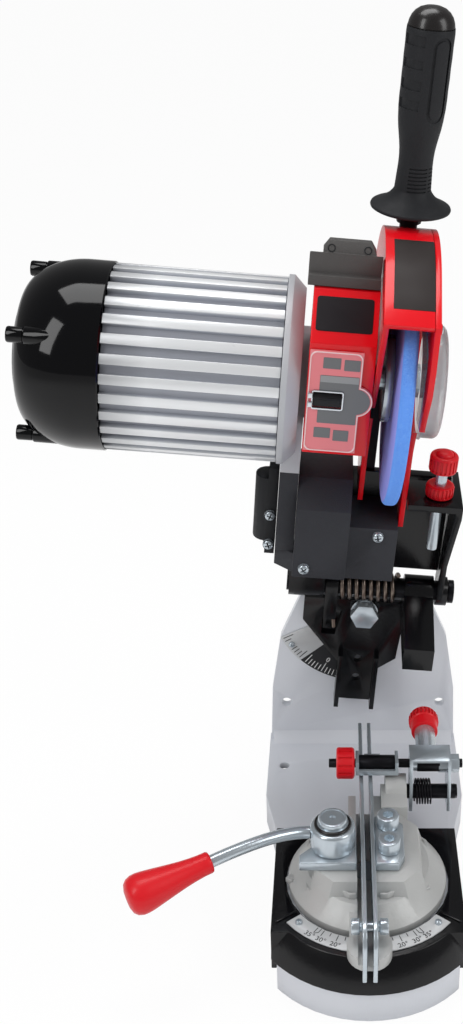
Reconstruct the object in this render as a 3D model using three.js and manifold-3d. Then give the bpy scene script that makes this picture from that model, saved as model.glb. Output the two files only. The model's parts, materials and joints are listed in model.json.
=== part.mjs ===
// A bench grinder that sharpens saw chain, with its grinding head raised and its vise parked.
// Millimetres, +Z up, +X to the user's right, -Y towards the user.
// The origin is on the bench, under the axis of the turntable.
import * as THREE from "three";
import { mergeVertices } from "three/addons/utils/BufferGeometryUtils.js";
import Module from "manifold-3d";

// Clearances that the whole machine shares
const seatGap = 0.3;
const slideGap = 0.5;
const overrun = 2;
const roundSides = 28;
const smallSides = 16;

// Base casting
const pedestalRadius = 70;
const pedestalTopRadius = 60.5;
const pedestalHalfWidth = 52;
const pedestalHeight = 37.7;
const pedestalShoulderHeight = 21.7;
const pedestalBackY = 46;
const floorHeight = 23;
const floorHalfWidth = 65;
const floorWideY = 96;
const castingWall = 5;
const ribThickness = 5;
const wallFaceY = 158;
const wallThickness = 6;
const boltHeight = 134;
const wallAboveBolt = 16;
const wallTopHeight = boltHeight + wallAboveBolt;
const wallTopHalfWidth = 38;
const wallShoulderHeight = 108;
const wallShoulderHalfWidth = 56;
const wallHipHeight = 66;
const wallHipHalfWidth = 62.5;
const foldFillet = 7;
const benchHoleRadius = 3.5;
const wallHoleX = 53;
const wallHoleHeight = 54;
const floorHoleX = 54;
const floorHoleY = 127;
const centreBossRadius = 14;

// Scale cover over the pedestal, and the scale on it
const coverSheet = 1.7;
const coverSideThickness = 3;
const coverSideBottom = 12;
const coverBackY = 44;
const coverSideFrontY = -43;
const scaleMargin = 1.5;
const scaleWidth = 10;
const scaleOuterRadius = pedestalTopRadius - scaleMargin;
const scaleInnerRadius = scaleOuterRadius - scaleWidth;
const coverHoleMargin = 1;
const coverHoleRadius = scaleInnerRadius - coverHoleMargin;
const scaleThickness = 0.8;
const scaleHalfAngle = 52;
const scaleScrewAngle = 47;
const scaleScrewRadius = 2;
const scaleScrewHeight = 1.2;

// Tilt hinge of the head, a bolt through the back wall
const boltRadius = 5;
const boltHeadFlat = 16;
const boltHeadHeight = 7;
const washerRadius = 9;
const washerThickness = 1.6;
const washerMargin = 2;
const wallBossRadius = washerRadius + washerMargin;
const wallBossHeight = 5;
const tiltScaleInner = 40;
const tiltScaleOuter = 62;
const tiltScaleStartAngle = 205;
const tiltScaleEndAngle = 256;
const tiltScaleThickness = 0.9;
const tiltScaleScrewAngle = 213;

// Head pivot over the bolt, with the spring round it
const tiltAngle = 4.8;
const leanAngle = 5;
const pivotRadius = 6.5;
const pivotBore = 6.8;
const earRadius = 9.5;
const earBackAngle = 30;
const pivotLeft = -52.5;
const pivotRight = 53;
const pivotHeadRadius = 7.6;
const pivotHeadLength = 3.4;
const leftEarFrom = -27;
const leftEarTo = -19;
const springWire = 2.8;
const springMeanRadius = 8.7;
const springTurns = 8;
const springFrom = -17.5;
const springTo = 20;
const springReach = springMeanRadius + springWire / 2;
const springToWall = 0.4;
const springToWasher = 0.9;
const springToPlate = 2.4;
const pivotY = wallFaceY - springReach - springToWall;
const pivotHeight = boltHeight + washerRadius + springReach + springToWasher;

// Tilt bracket, placed from the bolt and the pivot
const bracketThickness = 4.4;
const bracketFrontY = wallFaceY - wallBossHeight - bracketThickness;
const bracketTop = pivotHeight - springReach - springToPlate;
const bracketHalfTop = 28;
const bracketLeftX = -40;
const bracketKneeDrop = 10;
const bracketKneeHeight = boltHeight - bracketKneeDrop;
const bracketRightKneeX = 24.5;
const bracketRightKneeDrop = 36;
const bracketRightKneeHeight = boltHeight - bracketRightKneeDrop;
const channelCentreX = -1;
const channelHalfWidth = 13.5;
const channelDrop = 41;
const channelTop = boltHeight - channelDrop;
const channelLength = 30;
const channelBottom = channelTop - channelLength;
const channelDepth = 11;
const channelSheet = 3;
const channelHoleRadius = 2.8;
const channelHoleRise = 3;
const channelHolePitch = 15;
const channelUpperHole = channelTop + channelHoleRise;
const channelLowerHole = channelUpperHole - channelHolePitch;
const windowLeft = -27;
const windowRight = -14;
const windowDrop = 1;
const windowHeight = 19;
const windowTop = boltHeight - windowDrop;
const windowBottom = windowTop - windowHeight;
const windowSlope = 4;

// Stop finger on the right of the bracket
const fingerLeft = 24;
const fingerRight = 43;
const fingerEndDrop = 15;
const fingerEndHeight = 15;
const fingerEndTop = pivotHeight - fingerEndDrop;
const fingerEndBottom = fingerEndTop - fingerEndHeight;
const fingerWeb = 3.5;

// Head arm and the plates on it
const armLeft = -50;
const armRight = 44.6;
const armFront = 0;
const armBack = 6;
const armBottom = 16;
const armTop = 86;
const armEarLeft = -51;
const armEarInner = -28;
const depthSideThickness = 4;
const depthPlateLeft = 16;
const depthPlateRise = 1;
const depthPlateTop = armTop + depthPlateRise;
const depthPlateThickness = 4;
const depthPlateFront = 38;
const depthPlateBack = 8;
const depthEarTo = 52;
const depthX = 35;
const depthRodRadius = 3.5;
const depthRodTip = 48.8;
const depthContact = 1.2;
const knurlRadius = 8.6;
const knurlDepth = 0.7;
const knurlCount = 20;
const depthLockHeight = 8;
const depthKnobRise = 17.5;
const depthKnobBottom = depthPlateTop + depthKnobRise;
const depthKnobHeight = 11;
const depthRodRise = 1.5;
const depthRodTop = depthKnobBottom + depthKnobHeight + depthRodRise;

// Arm cover, a faceted moulding in front of the arm
const moulding = 2.5;
const armCoverLeft = -50;
const armCoverStep = -18;
const armCoverFront = 49;
const armCoverTopFront = 34;
const armCoverBottom = 37;
const armCoverFold = 85;
const armCoverTop = 99;
const armCoverStepFront = 39;
const armCoverStepBottom = 31.5;
const armCoverStepTop = 69;
const armCoverWing = -61.5;
const armCoverWingFront = 26;
const armCoverWingBottom = 30;
const coverScrewRadius = 3.4;
const coverScrewHead = 2.2;
const clampLeft = -76;
const clampRight = -62;
const clampFront = 27;
const clampBack = 8;
const clampBottom = 38;
const clampTop = 98;
const clampHump = 8;

// Grinding spindle, measured from the head pivot
const spindleForward = 24;
const wheelRadius = 72.5;
const wheelToArm = 3.5;
const spindleHeight = armTop + wheelRadius + wheelToArm;
const shaftRadius = 7;
const wheelThickness = 8;
const wheelX = 2.3;
const wheelChamfer = 2.6;
const wheelBore = 7.3;
const innerFlangeRadius = 25;
const innerFlangeThickness = 4.6;
const outerFlangeRadius = 27;
const outerFlangeThickness = 1.8;
const nutFlat = 17;
const nutHeight = 5.5;

// Motor on the left of the wheel
const bellLeft = -64;
const bellRight = -53.7;
const finOuterRadius = 52.6;
const bellRim = 1.4;
const bellRadius = finOuterRadius + bellRim;
const bellChamfer = 7;
const bellWall = 5;
const noseRadius = 26;
const noseTo = -14.6;
const bellArmLeft = -61.5;
const bellArmLow = 44;
const bellArmBottom = bellArmLow - spindleHeight;
const bellArmFront = 16;
const bellArmBack = -10;
const tubeLeft = -160.4;
const finCount = 30;
const finDepth = 3.6;
const finRootRadius = finOuterRadius - finDepth;
const tubeWall = 4.4;
const tubeBoreRadius = finRootRadius - tubeWall;
const finWidthShare = 0.52;
const statorGap = 0.4;
const statorOuter = tubeBoreRadius - statorGap;
const statorDepth = 19.4;
const statorInner = statorOuter - statorDepth;
const airGap = 0.8;
const rotorRadius = statorInner - airGap;
const statorFrom = -142;
const statorTo = -84;
const bearingOuter = 17.5;
const bearingWidth = 11;
const rearBearingX = -190;
const shaftLeft = -193;
const domeRim = 0.8;
const domeRadius = finOuterRadius + domeRim;
const domeSkirt = 14;
const domeEnd = -211;
const domeFlatRadius = 30;
const domeWall = 3;
const domeSteps = 4;
const pegInset = 6.6;
const pegCircle = domeRadius - pegInset;
const pegRadius = 5.1;
const pegTipRadius = 4.4;
const pegEnd = -210.6;
const pegStep = -201;
const pegAngle = 55;

// Guards round the wheel
const guardRoom = 12.5;
const guardRadius = wheelRadius + guardRoom;
const guardSheet = 3;
const guardLeft = -14;
const guardSplit = 12;
const guardRight = 15.3;
const guardFrontAngle = 64.5;
const guardPanel = 34;
const guardBackAngle = 205;
const innerTipDrop = 4;
const outerTipDrop = 21;
const innerTip = armTop - spindleHeight - innerTipDrop;
const outerTip = armTop - spindleHeight - outerTipDrop;
const tipFront = 4;
const notchBack = 9;
const guardHoleRadius = 30;
const capRadius = 33.5;
const capDepth = 11.5;
const capWall = 2;
const guardScrewRadius = 3;
const guardScrewHead = 2.4;

// Switch cover, lamp housing
const switchRight = -14.6;
const switchFront = 45;
const switchBottom = -27;
const switchFold = 39;
const switchTop = 62.3;
const switchTopFront = 27;
const switchBack = 4;
const bezelLeft = -49.5;
const bezelRight = -21;
const bezelBottom = -24.5;
const bezelTop = 35.5;
const bezelThickness = 1.6;
const lobeRadius = 9;
const lobeX = -23;
const lobeHeight = 7;
const rockerLeft = -46;
const rockerRight = -31;
const rockerHeight = 7;
const rockerHalfHeight = 4.3;
const rockerPeak = 4.5;
const rockerBack = 9;
const lampLeft = -53.6;
const lampRight = -15;
const lampBack = -2;
const lampFront = 22;
const lampLip = 26;
const lampBottom = 63;
const lampLipTop = 69;
const lampTop = 80.4;
const lampBackTop = 69.4;
const lampCapLeft = -46.6;
const lampCapRight = -18.6;
const lampCapLow = 73;
const lampCapTop = 86;
const lampCapBack = 11;
const lampCapFront = 21;
const lampCapTaper = 3;
const bulbRadius = 3.9;
const bulbNeckShare = 0.7;

// Handle on the guard
const handleBack = 30;
const studRadius = 5;
const neckRadius = 7;
const rimTop = Math.sqrt(guardRadius ** 2 - handleBack ** 2);
const neckRise = 10.5;
const neckTop = rimTop + neckRise;
const studRise = 60;
const studTop = neckTop + studRise;
const handleLength = 107;
const gripTop = neckTop + handleLength;
const gripFlangeRadius = 22.5;
const gripWaistRadius = 9.2;
const gripBarrelRadius = 12.8;

// Vise on the turntable
const turntableMargin = 1.5;
const turntableRadius = coverHoleRadius - turntableMargin;
const turntableBottom = 38;
const turntableRim = 43;
const turntableSlope = 10.5;
const domeTopRadius = turntableRadius - turntableSlope;
const platformTop = 62;
const platformRise = 9;
const domeTopHeight = platformTop - platformRise;
const platformHalfX = 30;
const platformBackY = 30;
const platformFrontY = -27;
const platformSlope = 5;
const slotBottom = 45.7;
const slotLeft = -6.4;
const armHalfWidth = 11;
const frontBossY = -62;
const frontBossRadius = 12.5;
const frontBossTop = 50;
const rearBossFrom = 34;
const rearBossTo = 50;
const rearBossTop = 60;
const viseBoltRadius = 5;
const viseBoltHeadRadius = 8;
const viseBoltHeadBottom = 40.4;
const viseBoltEnd = 12;

// Rails that hold the chain
const railThickness = 2.4;
const railGap = 3.4;
const railTop = 70;
const railBottom = 46;
const railTailBottom = 58;
const railTailY = 54;
const railBackY = 112;
const railNoseY = -78;
const railNoseShare = 0.8;
const railLipBottom = 38;
const railOpening = 1.2;
const plateThickness = 5.6;
const plateFrontY = -18.5;
const plateBackY = 12;
const clampPlateLeft = -39.5;
const backingRight = 21;
const backingBackY = 22;
const plateCorner = 7;
const screwHeadRadius = 6.5;
const screwHeadHeight = 8;
const screwSocketRadius = 3.4;
const railScrewX = 12.2;
const railScrewRearY = 13.8;
const railScrewFrontY = -6.7;
const guidePinY = -58;
const guidePinHeight = 59;
const guidePinRadius = 2.9;
const guidePinHeadRadius = 4.4;
const guidePinHeadLength = 4.6;
const hubX = -20.4;
const hubY = -3;
const hubRadius = 13;
const hubHeight = 15;
const hubCapRadius = 8.4;
const hubCapHeight = 3.6;
const leverRadius = 3.6;
const leverHeightShare = 0.6;
const rodBendReach = 36.4;
const rodEndReach = 67.6;
const gripLength = 50;
const gripSmallRadius = 6.2;
const gripLargeRadius = 11.5;

// Chain stop
const stopPinY = 56;
const stopPinHeight = 59;
const stopPinRadius = 4.6;
const stopBossRadius = 11;
const stopBossFrom = 12;
const stopBossTo = 25;
const stopPinTo = 55.5;
const stopPinHeadRadius = 4.4;
const stopPinHeadLength = 4;
const stopScrewY = 62;
const stopScrewHeight = 76;
const stopScrewRadius = 2.8;
const stopScrewFrom = -23;
const stopScrewTo = 60;
const stopPlateSheet = 2;
const stopPlateLeft = 27;
const stopPlateRight = 50.5;
const stopPlateFrontY = 50;
const stopPlateBackY = 70;
const stopPlateBottom = 47.5;
const stopPlateTop = 84;
const stopKnobFrom = -18.4;
const stopKnobTo = -7;
const stopKnobRadius = 9.7;
const carriageLeft = -6.4;
const carriageRight = 20;
const carriageFrontY = 54;
const carriageBottom = 72.7;
const pawlBottom = 70.8;
const carriageTop = 82;
const sleeveRadius = 4.7;
const pawlFrom = -1;
const pawlTo = 9;
const stopSpringWire = 1.1;
const stopSpringMean = 7.6;
const stopSpringTurns = 6;
const stopSpringFrom = 30.5;
const stopSpringTo = 40.5;
const stopNutFlat = 10;
const stopNutHeight = 5.4;
const feedRadius = 6.6;
const feedPostTo = 93;
const feedKnobX = 38.5;
const feedKnobHeight = 17;

// Finishes
function finish(colour, roughness, metalness) {
  return new THREE.MeshStandardMaterial({ color: colour, roughness, metalness });
}
const greyPaint = finish(0xb9bcc0, 0.45, 0.1);
const blackPaint = finish(0x17181a, 0.25, 0.2);
const redPaint = finish(0xd8121c, 0.2, 0.1);
const redPlastic = finish(0xc8141a, 0.4, 0);
const charcoal = finish(0x35363a, 0.75, 0);
const lampGrey = finish(0x4c4b49, 0.6, 0);
const blackGloss = finish(0x0b0c0f, 0.12, 0);
const softBlack = finish(0x1b1c1e, 0.55, 0);
const finnedAluminium = finish(0xc9cbcf, 0.35, 0.9);
const castAluminium = finish(0xb4b5b3, 0.5, 0.8);
const zincPlate = finish(0xc4ccd2, 0.3, 0.9);
const scaleSilver = finish(0xd0d2d4, 0.35, 0.8);
const springSteel = finish(0x6f655f, 0.4, 0.9);
const blackSteel = finish(0x1d1e20, 0.4, 0.7);
const abrasive = finish(0x5f97e6, 0.9, 0);
const clearSmoke = finish(0xdad6d2, 0.2, 0);
const clearPink = finish(0xe79a9c, 0.25, 0);
const copper = finish(0x9a5b35, 0.5, 0.6);
const bulbGlass = finish(0xf2efe2, 0.2, 0);

const wasm = await Module();
wasm.setup();

// A closed solid from a three.js geometry, with its faces turned outwards
function solidOf(geometry) {
  const bare = geometry.clone();
  bare.deleteAttribute("normal");
  bare.deleteAttribute("uv");
  const welded = mergeVertices(bare);
  const places = welded.getAttribute("position").array;
  const index = welded.getIndex().array;
  const kept = [];
  let volume = 0;
  for (let i = 0; i < index.length; i += 3) {
    const [a, b, c] = [index[i], index[i + 1], index[i + 2]];
    if (a === b || b === c || c === a) continue;
    kept.push(a, b, c);
    const first = new THREE.Vector3().fromArray(places, 3 * a);
    const second = new THREE.Vector3().fromArray(places, 3 * b);
    const third = new THREE.Vector3().fromArray(places, 3 * c);
    volume += first.dot(second.cross(third));
  }
  if (volume < 0) kept.reverse();
  return new wasm.Manifold(new wasm.Mesh({
    numProp: 3,
    vertProperties: new Float32Array(places),
    triVerts: new Uint32Array(kept),
  }));
}

function geometryOf(solid) {
  const mesh = solid.getMesh();
  const geometry = new THREE.BufferGeometry();
  geometry.setAttribute("position", new THREE.BufferAttribute(new Float32Array(mesh.vertProperties), 3));
  geometry.setIndex(new THREE.BufferAttribute(new Uint32Array(mesh.triVerts), 1));
  geometry.computeVertexNormals();
  return geometry;
}

function joined(...solids) {
  return solids.reduce((sum, solid) => sum.add(solid));
}

function cut(solid, ...tools) {
  return tools.reduce((rest, tool) => rest.subtract(tool), solid);
}

// Turns a shape made along +Z so that it runs along the named axis
function alongAxis(geometry, axis) {
  if (axis === "x") {
    const turn = new THREE.Matrix4().set(0, 0, 1, 0, 1, 0, 0, 0, 0, 1, 0, 0, 0, 0, 0, 1);
    return geometry.applyMatrix4(turn);
  }
  if (axis === "y") return geometry.rotateX(Math.PI / 2);
  return geometry;
}

function block(x0, x1, y0, y1, z0, z1) {
  const geometry = new THREE.BoxGeometry(x1 - x0, y1 - y0, z1 - z0);
  return solidOf(geometry.translate((x0 + x1) / 2, (y0 + y1) / 2, (z0 + z1) / 2));
}

// An outline pushed along an axis: (y, z) along x, (x, z) along y and (x, y) along z
function prism(axis, outline, from, to, holes = []) {
  const shape = new THREE.Shape(outline.map(([a, b]) => new THREE.Vector2(a, b)));
  for (const hole of holes) shape.holes.push(new THREE.Path(hole.map(([a, b]) => new THREE.Vector2(a, b))));
  const geometry = new THREE.ExtrudeGeometry(shape, { depth: to - from, bevelEnabled: false });
  geometry.translate(0, 0, axis === "y" ? -to : from);
  return solidOf(alongAxis(geometry, axis));
}

// Points of an arc, in degrees, for outlines
function arc(centreA, centreB, radius, start, end, steps) {
  const points = [];
  for (let i = 0; i <= steps; i += 1) {
    const angle = THREE.MathUtils.degToRad(start + ((end - start) * i) / steps);
    points.push([centreA + radius * Math.cos(angle), centreB + radius * Math.sin(angle)]);
  }
  return points;
}

function circle(centreA, centreB, radius, sides) {
  return arc(centreA, centreB, radius, 0, 360 - 360 / sides, sides - 1);
}

// A round bar along an axis; a and b are its place across the axis, in the order of prism
function bar(axis, a, b, radius, from, to, sides = roundSides) {
  return prism(axis, circle(a, b, radius, sides), from, to);
}

function ring(axis, a, b, outer, inner, from, to, sides = roundSides) {
  return prism(axis, circle(a, b, outer, sides), from, to, [circle(a, b, inner, sides)]);
}

// A profile of [radius, place along the axis] pairs turned about an axis through the frame's origin
function turned(axis, profile, sides = roundSides) {
  const points = [...profile, profile[0]].map(([radius, along]) => new THREE.Vector2(radius, along));
  const geometry = new THREE.LatheGeometry(points, sides);
  geometry.rotateX(Math.PI / 2);
  return solidOf(alongAxis(geometry, axis));
}

function hexBar(axis, a, b, acrossFlats, from, to) {
  return prism(axis, circle(a, b, acrossFlats / Math.sqrt(3), 6), from, to);
}

// A knob with straight ribs round it
function knurledBar(axis, a, b, radius, from, to) {
  const outline = [];
  for (let i = 0; i < knurlCount * 2; i += 1) {
    const angle = (Math.PI * (i + 0.5)) / knurlCount;
    const reach = Math.floor((i + 1) / 2) % 2 === 0 ? radius : radius - knurlDepth;
    outline.push([a + reach * Math.cos(angle), b + reach * Math.sin(angle)]);
  }
  return prism(axis, outline, from, to);
}

// A form with a polygon at each height, all with the same number of points
function lofted(levels) {
  const sides = levels[0].points.length;
  const positions = [];
  const index = [];
  for (const level of levels) {
    for (const [x, y] of level.points) positions.push(x, y, level.height);
  }
  for (let k = 0; k + 1 < levels.length; k += 1) {
    for (let i = 0; i < sides; i += 1) {
      const [a, b] = [k * sides + i, k * sides + ((i + 1) % sides)];
      index.push(a, b, b + sides, a, b + sides, a + sides);
    }
  }
  for (let i = 1; i + 1 < sides; i += 1) {
    index.push(0, i + 1, i);
    const top = (levels.length - 1) * sides;
    index.push(top, top + i, top + i + 1);
  }
  const geometry = new THREE.BufferGeometry();
  geometry.setAttribute("position", new THREE.BufferAttribute(new Float32Array(positions), 3));
  geometry.setIndex(index);
  return solidOf(geometry);
}

// A coil round the x axis with straight ends, one unbroken tube; prints its least gap to itself
function coil(name, y, z, meanRadius, wire, turns, from, to, start) {
  const steps = 8;
  const sides = 5;
  const centres = [];
  const rise = (to - from) / turns;
  for (let i = 0; i <= turns * steps; i += 1) {
    const angle = THREE.MathUtils.degToRad(start) + (2 * Math.PI * i) / steps;
    const along = from + (rise * i) / steps;
    const [back, up] = [meanRadius * Math.cos(angle), meanRadius * Math.sin(angle)];
    centres.push(new THREE.Vector3(along, y + back, z + up));
  }
  const lead = new THREE.Vector3().subVectors(centres[0], centres[1]).setLength(wire);
  const tail = new THREE.Vector3().subVectors(centres.at(-1), centres.at(-2)).setLength(wire);
  centres.unshift(centres[0].clone().add(lead));
  centres.push(centres.at(-1).clone().add(tail));
  const positions = [];
  const index = [];
  centres.forEach((centre, i) => {
    const before = centres[Math.max(i - 1, 0)];
    const after = centres[Math.min(i + 1, centres.length - 1)];
    const along = new THREE.Vector3().subVectors(after, before).normalize();
    const out = new THREE.Vector3(0, centre.y - y, centre.z - z).normalize();
    const across = new THREE.Vector3().crossVectors(along, out).normalize();
    out.crossVectors(across, along);
    for (let j = 0; j < sides; j += 1) {
      const angle = (2 * Math.PI * j) / sides;
      const point = centre.clone().addScaledVector(out, (wire / 2) * Math.cos(angle));
      point.addScaledVector(across, (wire / 2) * Math.sin(angle));
      positions.push(point.x, point.y, point.z);
    }
  });
  for (let i = 0; i + 1 < centres.length; i += 1) {
    for (let j = 0; j < sides; j += 1) {
      const [a, b] = [i * sides + j, i * sides + ((j + 1) % sides)];
      index.push(a, b, b + sides, a, b + sides, a + sides);
    }
  }
  const last = (centres.length - 1) * sides;
  for (let j = 1; j + 1 < sides; j += 1) {
    index.push(0, j + 1, j, last, last + j, last + j + 1);
  }
  let least = Infinity;
  for (let i = 0; i < centres.length; i += 1) {
    for (let j = i + Math.floor(steps / 2); j < centres.length; j += 1) {
      least = Math.min(least, centres[i].distanceTo(centres[j]) - wire);
    }
  }
  console.log(`${name}: least gap to itself ${least.toFixed(2)} mm`);
  const geometry = new THREE.BufferGeometry();
  geometry.setAttribute("position", new THREE.BufferAttribute(new Float32Array(positions), 3));
  geometry.setIndex(index);
  return solidOf(geometry);
}

const model = new THREE.Group();

function add(group, name, solid, material) {
  const mesh = new THREE.Mesh(geometryOf(solid), material);
  mesh.name = name;
  group.add(mesh);
}

// Frames: the tilt frame turns about the bolt, the head leans on its pivot, the spindle is on the head
const tiltFrame = new THREE.Group();
tiltFrame.position.set(0, 0, boltHeight);
tiltFrame.rotation.y = THREE.MathUtils.degToRad(tiltAngle);
const tilted = new THREE.Group();
tilted.position.set(0, 0, -boltHeight);
tiltFrame.add(tilted);
const head = new THREE.Group();
head.position.set(0, pivotY, pivotHeight);
head.rotation.x = THREE.MathUtils.degToRad(leanAngle);
tilted.add(head);
const spindle = new THREE.Group();
spindle.position.set(0, -spindleForward, spindleHeight);
head.add(spindle);
const vise = new THREE.Group();
model.add(tiltFrame, vise);

// Base casting: pedestal, floor and back wall, open below
const wallBackY = wallFaceY + wallThickness;
const floorTopInside = floorHeight - castingWall;

function pedestalForm(grow, bottom) {
  const profile = [
    [0, bottom],
    [pedestalRadius + grow, bottom],
    [pedestalRadius + grow, pedestalShoulderHeight],
    [pedestalTopRadius + grow, pedestalHeight + grow],
    [0, pedestalHeight + grow],
  ];
  const width = pedestalHalfWidth + grow;
  const reach = pedestalRadius + overrun;
  const room = block(-width, width, -reach, pedestalBackY, bottom, pedestalHeight + grow + overrun);
  return turned("z", profile, roundSides * 2).intersect(room);
}

function floorOutline(inset) {
  const [wide, narrow] = [floorHalfWidth - inset, pedestalHalfWidth - inset];
  const front = pedestalBackY - castingWall + Math.min(inset, 0);
  const back = wallBackY - inset;
  return [
    [-narrow, front], [narrow, front], [wide, floorWideY], [wide, back], [-wide, back], [-wide, floorWideY],
  ];
}

function wallOutline() {
  const left = [
    [-floorHalfWidth, 0],
    [-wallHipHalfWidth, wallHipHeight],
    [-wallShoulderHalfWidth, wallShoulderHeight],
    [-wallTopHalfWidth, wallTopHeight],
  ];
  return [...left, ...left.toReversed().map(([x, z]) => [-x, z])];
}

function baseCasting() {
  const shell = cut(
    joined(pedestalForm(0, 0), prism("z", floorOutline(0), 0, floorHeight)),
    pedestalForm(-castingWall, -overrun),
    prism("z", floorOutline(castingWall), -overrun, floorTopInside),
  );
  const wall = prism("y", wallOutline(), wallFaceY, wallBackY);
  const fold = prism("x", [
    [wallFaceY - foldFillet, floorHeight - seatGap],
    [wallFaceY + seatGap, floorHeight - seatGap],
    [wallFaceY + seatGap, floorHeight + foldFillet],
  ], -wallHipHalfWidth, wallHipHalfWidth);
  const boss = bar("y", 0, boltHeight, wallBossRadius, bracketFrontY + bracketThickness + seatGap, wallBackY);
  const ribReach = pedestalHalfWidth - castingWall / 2;
  const ribTop = floorTopInside;
  const ribs = joined(
    block(-ribReach, ribReach, -ribThickness / 2, ribThickness / 2, 0, ribTop),
    block(-ribThickness / 2, ribThickness / 2, -pedestalRadius + castingWall / 2, wallFaceY, 0, ribTop),
    block(-floorHalfWidth + castingWall / 2, floorHalfWidth - castingWall / 2,
      floorWideY, floorWideY + ribThickness, 0, ribTop),
  );
  const centre = bar("z", 0, 0, centreBossRadius, 0, pedestalHeight - seatGap);
  const holes = [];
  for (const side of [-1, 1]) {
    holes.push(bar("y", side * wallHoleX, wallHoleHeight, benchHoleRadius, wallFaceY - overrun,
      wallBackY + overrun, smallSides));
    holes.push(bar("z", side * floorHoleX, floorHoleY, benchHoleRadius, -overrun,
      floorHeight + overrun, smallSides));
  }
  holes.push(bar("y", 0, boltHeight, boltRadius + seatGap, pivotY, wallBackY + overrun));
  holes.push(bar("z", 0, 0, viseBoltRadius + seatGap, viseBoltEnd - slideGap, pedestalHeight + overrun));
  return cut(joined(shell, wall, fold, boss, ribs, centre), ...holes);
}

// Sheet cover over the pedestal, with side flanges and a sloping front
function scaleCover() {
  const skin = coverSheet + seatGap;
  const top = pedestalHeight + skin;
  const profile = [
    [0, pedestalShoulderHeight],
    [pedestalRadius + skin, pedestalShoulderHeight],
    [pedestalTopRadius + skin, top],
    [0, top],
  ];
  const halfWidth = pedestalHalfWidth + seatGap + coverSideThickness;
  const reach = pedestalRadius + skin + overrun;
  const crown = turned("z", profile, roundSides * 2)
    .intersect(block(-halfWidth, halfWidth, -reach, coverBackY, 0, top + overrun));
  const sides = block(-halfWidth, halfWidth, coverSideFrontY, coverBackY, coverSideBottom, top);
  const roomAbove = bar("z", 0, 0, coverHoleRadius, pedestalHeight - overrun, top + overrun);
  const floorRoom = prism("z", floorOutline(-seatGap), -overrun, floorHeight + seatGap);
  return cut(joined(crown, sides), pedestalForm(seatGap, -overrun), floorRoom, roomAbove);
}

const coverTop = pedestalHeight + seatGap + coverSheet;

function sectorRing(axis, a, b, outer, inner, start, end, from, to, steps) {
  const outline = [...arc(a, b, outer, start, end, steps), ...arc(a, b, inner, end, start, steps)];
  return prism(axis, outline, from, to);
}

function angleScale() {
  const bottom = coverTop + seatGap;
  const top = bottom + scaleThickness;
  const plate = sectorRing("z", 0, 0, scaleOuterRadius, scaleInnerRadius, -90 - scaleHalfAngle,
    -90 + scaleHalfAngle, bottom, top, roundSides / 2);
  const middle = (scaleInnerRadius + scaleOuterRadius) / 2;
  const screws = [-scaleScrewAngle, scaleScrewAngle].map((angle) => {
    const turn = THREE.MathUtils.degToRad(angle - 90);
    return bar("z", middle * Math.cos(turn), middle * Math.sin(turn), scaleScrewRadius, bottom,
      top + scaleScrewHeight, smallSides);
  });
  return joined(plate, ...screws);
}

function tiltScale() {
  const back = wallFaceY - seatGap;
  const face = back - tiltScaleThickness;
  const plate = sectorRing("y", 0, boltHeight, tiltScaleOuter, tiltScaleInner,
    tiltScaleStartAngle, tiltScaleEndAngle, face, back, smallSides / 2);
  const turn = THREE.MathUtils.degToRad(tiltScaleScrewAngle);
  const reach = tiltScaleOuter - 2 * scaleScrewRadius;
  const screw = bar("y", reach * Math.cos(turn), boltHeight + reach * Math.sin(turn), scaleScrewRadius,
    face - scaleScrewHeight, back, smallSides);
  return joined(plate, screw);
}

// Bolt that the turntable turns on, screwed into the centre boss
function viseBolt() {
  const headTop = slotBottom - slideGap;
  return joined(
    bar("z", 0, 0, viseBoltRadius, viseBoltEnd, headTop - seatGap, smallSides),
    bar("z", 0, 0, viseBoltHeadRadius, viseBoltHeadBottom, headTop, smallSides),
  );
}

add(model, "base_casting", baseCasting(), greyPaint);
add(model, "scale_cover", scaleCover(), blackPaint);
add(model, "angle_scale_plate", angleScale(), scaleSilver);
add(model, "tilt_scale_plate", tiltScale(), scaleSilver);
add(model, "vise_pivot_bolt", viseBolt(), zincPlate);

// Tilt bracket: a bent plate with a channel below and an ear for the head pivot
const bracketBackY = bracketFrontY + bracketThickness;

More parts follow.
